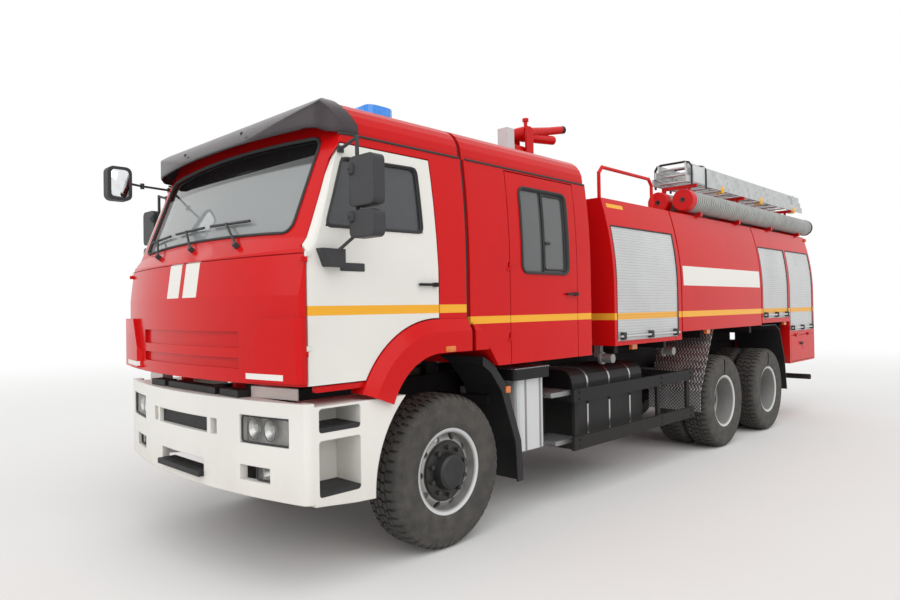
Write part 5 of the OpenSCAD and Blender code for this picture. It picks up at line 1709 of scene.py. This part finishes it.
@dataclass
class RoofTrim:
    """Caps on the hose cases, and the ladder's straps, case, clamps and rung sockets."""

    case_ys: tuple[float, float] = (1.105, 0.805)
    case_z: float = 2.862
    case_r: float = 0.120
    case_front: float = -3.880
    case_rear: float = -8.180
    ladder_y: float = 0.800
    ladder_half: float = 0.215
    ladder_z: float = 3.120
    ladder_h: float = 0.250
    strap_xs: tuple[float, float] = (-4.30, -4.70)
    clamp_xs: tuple[float, ...] = (-5.20, -6.55, -7.95)
    sockets: int = 12
    socket_step: float = 0.345

    def caps(self) -> None:
        """A red cap with a dark hole on each case's front, and a dark one behind."""
        for sign, side in SIDES:
            forge, dark = Forge(f"hose_caps_{side}"), Forge(f"hose_ends_{side}")
            for y in self.case_ys:
                r = self.case_r + 0.003
                inner = self.case_r - 0.004
                front = [(0.021, 0.0), (r - 0.006, 0.0), (r, -0.006), (r, -0.118), (r - 0.005, -0.12)]
                front += [(inner, -0.12), (inner, -0.01), (0.021, -0.01)]
                forge.ring(front, at(self.case_front + 0.004, sign * y, self.case_z), (1, 0, 0), 40)
                hole = [(0.0215, 0.0), (0.030, 0.0), (0.030, 0.003), (0.0215, 0.003)]
                dark.ring(hole, at(self.case_front + 0.003, sign * y, self.case_z), (1, 0, 0), 24)
                rear = [(0.1, -0.004), (r, -0.003), (r + 0.001, 0.06), (self.case_r - 0.006, 0.062)]
                dark.spun(rear, at(self.case_rear, sign * y, self.case_z), (1, 0, 0), 40)
                for k in range(6):
                    a = math.tau * k / 6
                    across, up = sign * y + 0.1 * math.cos(a), self.case_z + 0.1 * math.sin(a)
                    dark.rivet(at(self.case_front + 0.004, across, up), (1, 0, 0), 0.005)
            forge.piece(LIVERY.cap_red, "chassis", "red_paint")
            dark.piece(LIVERY.rubber, "chassis", "rubber")

    def straps(self) -> None:
        """Two dark hooked bands over the ladder's front end with a pale case between them."""
        half, top = self.ladder_half + 0.014, self.ladder_z + self.ladder_h
        forge = Forge("ladder_straps")
        for x in self.strap_xs:
            path = [at(x, self.ladder_y + half, self.ladder_z - 0.03)]
            rises = (self.ladder_z + 0.05, self.ladder_z + 0.13, top - 0.05)
            path += [at(x, self.ladder_y + half, z) for z in rises]
            over = [(half - 0.03, top - 0.005), (half - 0.08, top + 0.008)]
            over += [(-half + 0.08, top + 0.008), (-half + 0.03, top - 0.005)]
            path += [at(x, self.ladder_y + y, z) for y, z in over]
            path += [at(x, self.ladder_y - half, z) for z in (top - 0.05, self.ladder_z - 0.03)]
            forge.tube(path, 0.018, 8, False, 0.45)
        forge.piece(LIVERY.rubber, "chassis", "rubber")
        case = Forge("ladder_case")
        rear, front = self.strap_xs[1] + 0.04, self.strap_xs[0] - 0.04
        low = at(rear, self.ladder_y + half - 0.012, self.ladder_z + 0.012)
        case.box(low, at(front, self.ladder_y + half + 0.006, top - 0.04), 0.006)
        for x in (rear + 0.04, front - 0.04):
            case.rivet(at(x, self.ladder_y + half + 0.006, self.ladder_z + 0.12), (0, 1, 0), 0.007)
        case.piece(LIVERY.silver, "chassis", "aluminium")

    def clamps(self) -> None:
        """Yellow clamps that hold the ladder to its rack."""
        forge = Forge("ladder_clamps")
        for x in self.clamp_xs:
            low = self.ladder_z - 0.030
            forge.box(at(x - 0.035, 1.008, low), at(x + 0.035, 1.036, low + 0.085), 0.006)
            forge.box(at(x - 0.03, 0.94, low - 0.004), at(x + 0.03, 1.03, low + 0.012), 0.004)
            forge.bolt(at(x, 1.036, low + 0.045), (0, 1, 0), 0.011)
        forge.piece(LIVERY.clamp_yellow, "chassis", None)

    def holes(self) -> None:
        """Rows of rung sockets along the ladder's stiles."""
        forge = Forge("ladder_sockets")
        eye = [(0.0145, 0.0), (0.019, 0.0), (0.018, 0.003), (0.0145, 0.002)]
        rise = self.ladder_h / 3
        for i in range(3):
            half = self.ladder_half - i * 0.022 + 0.009
            for k in range(self.sockets):
                for sign in (-1, 1):
                    x, z = -8.36 + 0.18 + k * self.socket_step, self.ladder_z + (i + 0.5) * rise
                    forge.ring(eye, at(x, self.ladder_y + sign * half, z), (0, sign, 0), 14)
        forge.piece(LIVERY.rung, "chassis", "aluminium")

    def build(self) -> None:
        """Builds the roof's trim."""
        self.caps()
        self.straps()
        self.clamps()
        self.holes()


@dataclass
class BodyTrim:
    """Shutter rails, grips, tank straps, lid handles, outline lamps and rows of bolts on the body.

    A shutter's numbers are its front, its rear, its foot and its top.
    """

    shutters: tuple[tuple[float, float, float, float], ...] = (
        (-2.165, -3.425, 1.350, 2.440),
        (-5.895, -6.895, 1.480, 2.440),
        (-6.960, -8.005, 1.275, 2.440),
    )
    strap_xs: tuple[float, ...] = (-1.95, -2.33, -2.72)
    band_xs: tuple[float, float] = (-0.895, -1.085)
    guard_xs: tuple[float, ...] = (-1.59, -3.10, -3.78)
    lamp_x: float = -8.075
    lamp_z: float = 2.655

    def shutter_rails(self) -> None:
        """Black weather strips down the sides and along the top of each shutter."""
        for sign, side in SIDES:
            forge = Forge(f"shutter_rails_{side}")
            for front, rear, low, top in self.shutters:
                heights = [low + 0.01 + (top - low - 0.02) * i / 10 for i in range(11)]
                for x in (front - 0.007, rear + 0.007):
                    forge.tube([at(x, sign * (BODY.skin_y(z) - 0.004), z) for z in heights], 0.0065, 6)
                y = sign * (BODY.skin_y(top) - 0.004)
                forge.tube([at(front - 0.01, y, top - 0.007), at(rear + 0.01, y, top - 0.007)], 0.0065, 6)
            forge.piece(LIVERY.rubber, "chassis", "rubber")

    def latches(self) -> None:
        """Black pads and grips on each lift bar."""
        for sign, side in SIDES:
            forge = Forge(f"shutter_grips_{side}")
            for front, rear, low, _ in self.shutters:
                x0, x1 = rear + 0.03, front - 0.03
                for x in (x0 + 0.06, (x0 + x1) / 2, x1 - 0.06):
                    foot = at(x - 0.027, sign * 1.236, low + 0.012)
                    forge.box(foot, at(x + 0.027, sign * 1.283, low + 0.082), 0.006)
                    forge.rivet(at(x, sign * 1.283, low + 0.047), (0, sign, 0), 0.007)
            forge.piece(LIVERY.rubber, "chassis", "black_plastic")

    def tank_straps(self) -> None:
        """Bright straps round the fuel tanks and plain bands on the side tanks."""
        for sign, side in SIDES:
            forge = Forge(f"tank_straps_{side}")
            outline = rounded_outline((0.4885, 0.4085), (1.0515, 1.1065), 0.1215, 8)
            for x in self.strap_xs:
                rings = [[at(x + w, sign * y, z) for y, z in outline] for w in (-0.012, 0.012)]
                forge.hoop(rings, 0.0025)
            forge.piece(LIVERY.bright, "chassis", None)
            forge = Forge(f"side_tank_bands_{side}")
            for x in self.band_xs:
                forge.box(at(x - 0.011, sign * 1.1495, 0.536), at(x + 0.011, sign * 1.1535, 1.109), 0.001)
            forge.piece(LIVERY.dull, "chassis", "silver")

    def handles(self) -> None:
        """Dark oval handles on the locker lids."""
        for sign, side in SIDES:
            forge = Forge(f"lid_handle_{side}")
            outline = rounded_outline((-7.475 + AXLE_X, 1.066), (-7.365 + AXLE_X, 1.106), 0.0195, 6)
            forge.prism(outline, Axis.Y, sign * 1.262, sign * 1.270, 0.003)
            inner = rounded_outline((-7.455 + AXLE_X, 1.076), (-7.385 + AXLE_X, 1.096), 0.0095, 6)
            forge.prism(inner, Axis.Y, sign * 1.269, sign * 1.276, 0.002)
            forge.piece(LIVERY.rubber, f"locker_lid_{side}", "black_plastic")

    def roof_lamps(self) -> None:
        """Amber outline lamps on dark stalks at the body's rear corners."""
        for sign, side in SIDES:
            lamp = Forge(f"outline_lamp_{side}")
            turned = [(0.02, 0.0), (0.028, 0.01), (0.028, 0.05), (0.018, 0.06)]
            lamp.spun(turned, at(self.lamp_x, sign * 1.10, self.lamp_z), (0, sign, 0), 20)
            lamp.piece(LIVERY.amber, "chassis", "amber_lens")
            base = Forge(f"outline_stalk_{side}")
            foot = at(self.lamp_x, sign * 1.03, self.lamp_z)
            base.rod(foot, at(self.lamp_x, sign * 1.105, self.lamp_z), 0.014)
            base.piece(LIVERY.rubber, "chassis", "rubber")

    def bolts(self) -> None:
        """Bolt heads on the side guards and the fuel tanks' straps."""
        for sign, side in SIDES:
            forge = Forge(f"guard_bolts_{side}")
            for x in self.guard_xs:
                for z in (0.47, 0.525, 0.88, 0.935):
                    forge.bolt(at(x, sign * 1.204, z), (0, sign, 0), 0.011)
            for x in self.strap_xs:
                forge.bolt(at(x, sign * 1.0515, 0.80), (0, sign, 0), 0.012)
            forge.piece(LIVERY.black_steel, "chassis", "black_metal")

    def build(self) -> None:
        """Builds the body's trim."""
        self.shutter_rails()
        self.latches()
        self.tank_straps()
        self.handles()
        self.roof_lamps()
        self.bolts()


@dataclass
class Stage:
    """The pale floor, the soft light and the fitted camera."""

    eye: tuple[float, float, float] = (6.831, 4.488, 1.684)
    heading: float = math.radians(-135.983)
    pitch: float = math.radians(0.687)
    roll: float = math.radians(-0.900)
    lens_mm: float = 27.04
    sensor_mm: float = 36.0
    sky: float = 0.62
    sun: float = 1.5

    def camera(self) -> None:
        """Sets the camera that was fitted to the photograph."""
        data = bpy.data.cameras.new("camera")
        data.lens = self.lens_mm
        data.sensor_width = self.sensor_mm
        made = bpy.data.objects.new("camera", data)
        c, s = math.cos(self.heading), math.sin(self.heading)
        ahead = Vector((math.cos(self.pitch) * c, math.cos(self.pitch) * s, math.sin(self.pitch)))
        right = Vector((s, -c, 0.0))
        up = right.cross(ahead)
        turned = right * math.cos(self.roll) + up * math.sin(self.roll)
        over = up * math.cos(self.roll) - right * math.sin(self.roll)
        turn = Matrix((turned, over, -ahead)).transposed()
        made.matrix_world = Matrix.Translation(Vector(self.eye)) @ turn.to_4x4()
        bpy.context.scene.collection.objects.link(made)
        bpy.context.scene.camera = made

    def lamps(self) -> None:
        """A wide soft sun over the camera's side and a weaker one from the front."""
        for name, strength, spread, way in (
            ("key", self.sun, 70.0, (-0.25, -0.62, -0.74)),
            ("fill", self.sun * 0.45, 60.0, (-0.9, 0.15, -0.42)),
        ):
            data = bpy.data.lights.new(name, "SUN")
            data.energy = strength
            data.angle = math.radians(spread)
            made = bpy.data.objects.new(name, data)
            made.rotation_mode = "QUATERNION"
            made.rotation_quaternion = Vector(way).to_track_quat("-Z", "Y")
            made.location = (0, 0, 8)
            bpy.context.scene.collection.objects.link(made)

    def world(self) -> None:
        """White where it is seen, mirrored or looked at through glass, and softer as light."""
        world = bpy.data.worlds.new("studio")
        bpy.context.scene.world = world
        world.use_nodes = True
        tree = world.node_tree
        tree.nodes.clear()
        rays = tree.nodes.new("ShaderNodeLightPath")
        graph = Graph.__new__(Graph)
        graph.tree = tree
        names = ("Is Camera Ray", "Is Glossy Ray", "Is Transmission Ray")
        camera, glossy, through = (Sock(graph, rays.outputs[n]) for n in names)
        seen = camera | glossy | through
        strength = self.sky + (1.0 - self.sky) * seen
        back = tree.nodes.new("ShaderNodeBackground")
        back.inputs["Color"].default_value = (1.0, 1.0, 1.0, 1.0)
        tree.links.new(strength.socket, back.inputs["Strength"])
        out = tree.nodes.new("ShaderNodeOutputWorld")
        tree.links.new(back.outputs[0], out.inputs["Surface"])

    def floor(self) -> None:
        """A plain pale floor that fades into the white behind."""
        graph = Graph("floor")
        x, y, _ = graph.axes()
        cloud = graph.noise(2.0, 4.0)
        far = ((x * x + y * y).root()).ramp(9.0, 22.0)
        tone = graph.mix(cloud * 0.3, (0.80, 0.80, 0.79), (0.76, 0.76, 0.75))
        white = graph.node("ShaderNodeEmission", None, {"Color": (1.0, 1.0, 1.0), "Strength": 1.0})
        rays = graph.node("ShaderNodeLightPath", out="Is Camera Ray")
        painted = Sock(graph, graph.shader.outputs[0])
        blend = graph.node("ShaderNodeMixShader", None, {0: far & rays, 1: painted, 2: white})
        graph.tree.links.new(blend.socket, graph.output.inputs["Surface"])
        material = graph.done(Base_Color=tone, Roughness=0.85)
        mesh = bmesh.new()
        bmesh.ops.create_grid(mesh, x_segments=8, y_segments=8, size=60.0)
        data = bpy.data.meshes.new("floor")
        mesh.to_mesh(data)
        mesh.free()
        data.materials.append(material)
        made = bpy.data.objects.new("floor", data)
        made.location.z = -0.001
        bpy.context.scene.collection.objects.link(made)

    def build(self) -> None:
        """Sets the whole stage."""
        self.camera()
        self.lamps()
        self.world()
        self.floor()
        bpy.context.scene.view_settings.view_transform = "Standard"


def main() -> None:
    """Builds the truck's looks in order."""
    logging.basicConfig(level=logging.INFO, format="%(name)s %(message)s")
    Skins().dress()
    TyreTreads().build()
    WindowTrim().build()
    CabFurniture().build()
    VisorTrim().build()
    Headlamps().build()
    Seats().build()
    RoofTrim().build()
    BodyTrim().build()
    Stage().build()


if __name__ == "__main__":
    main()
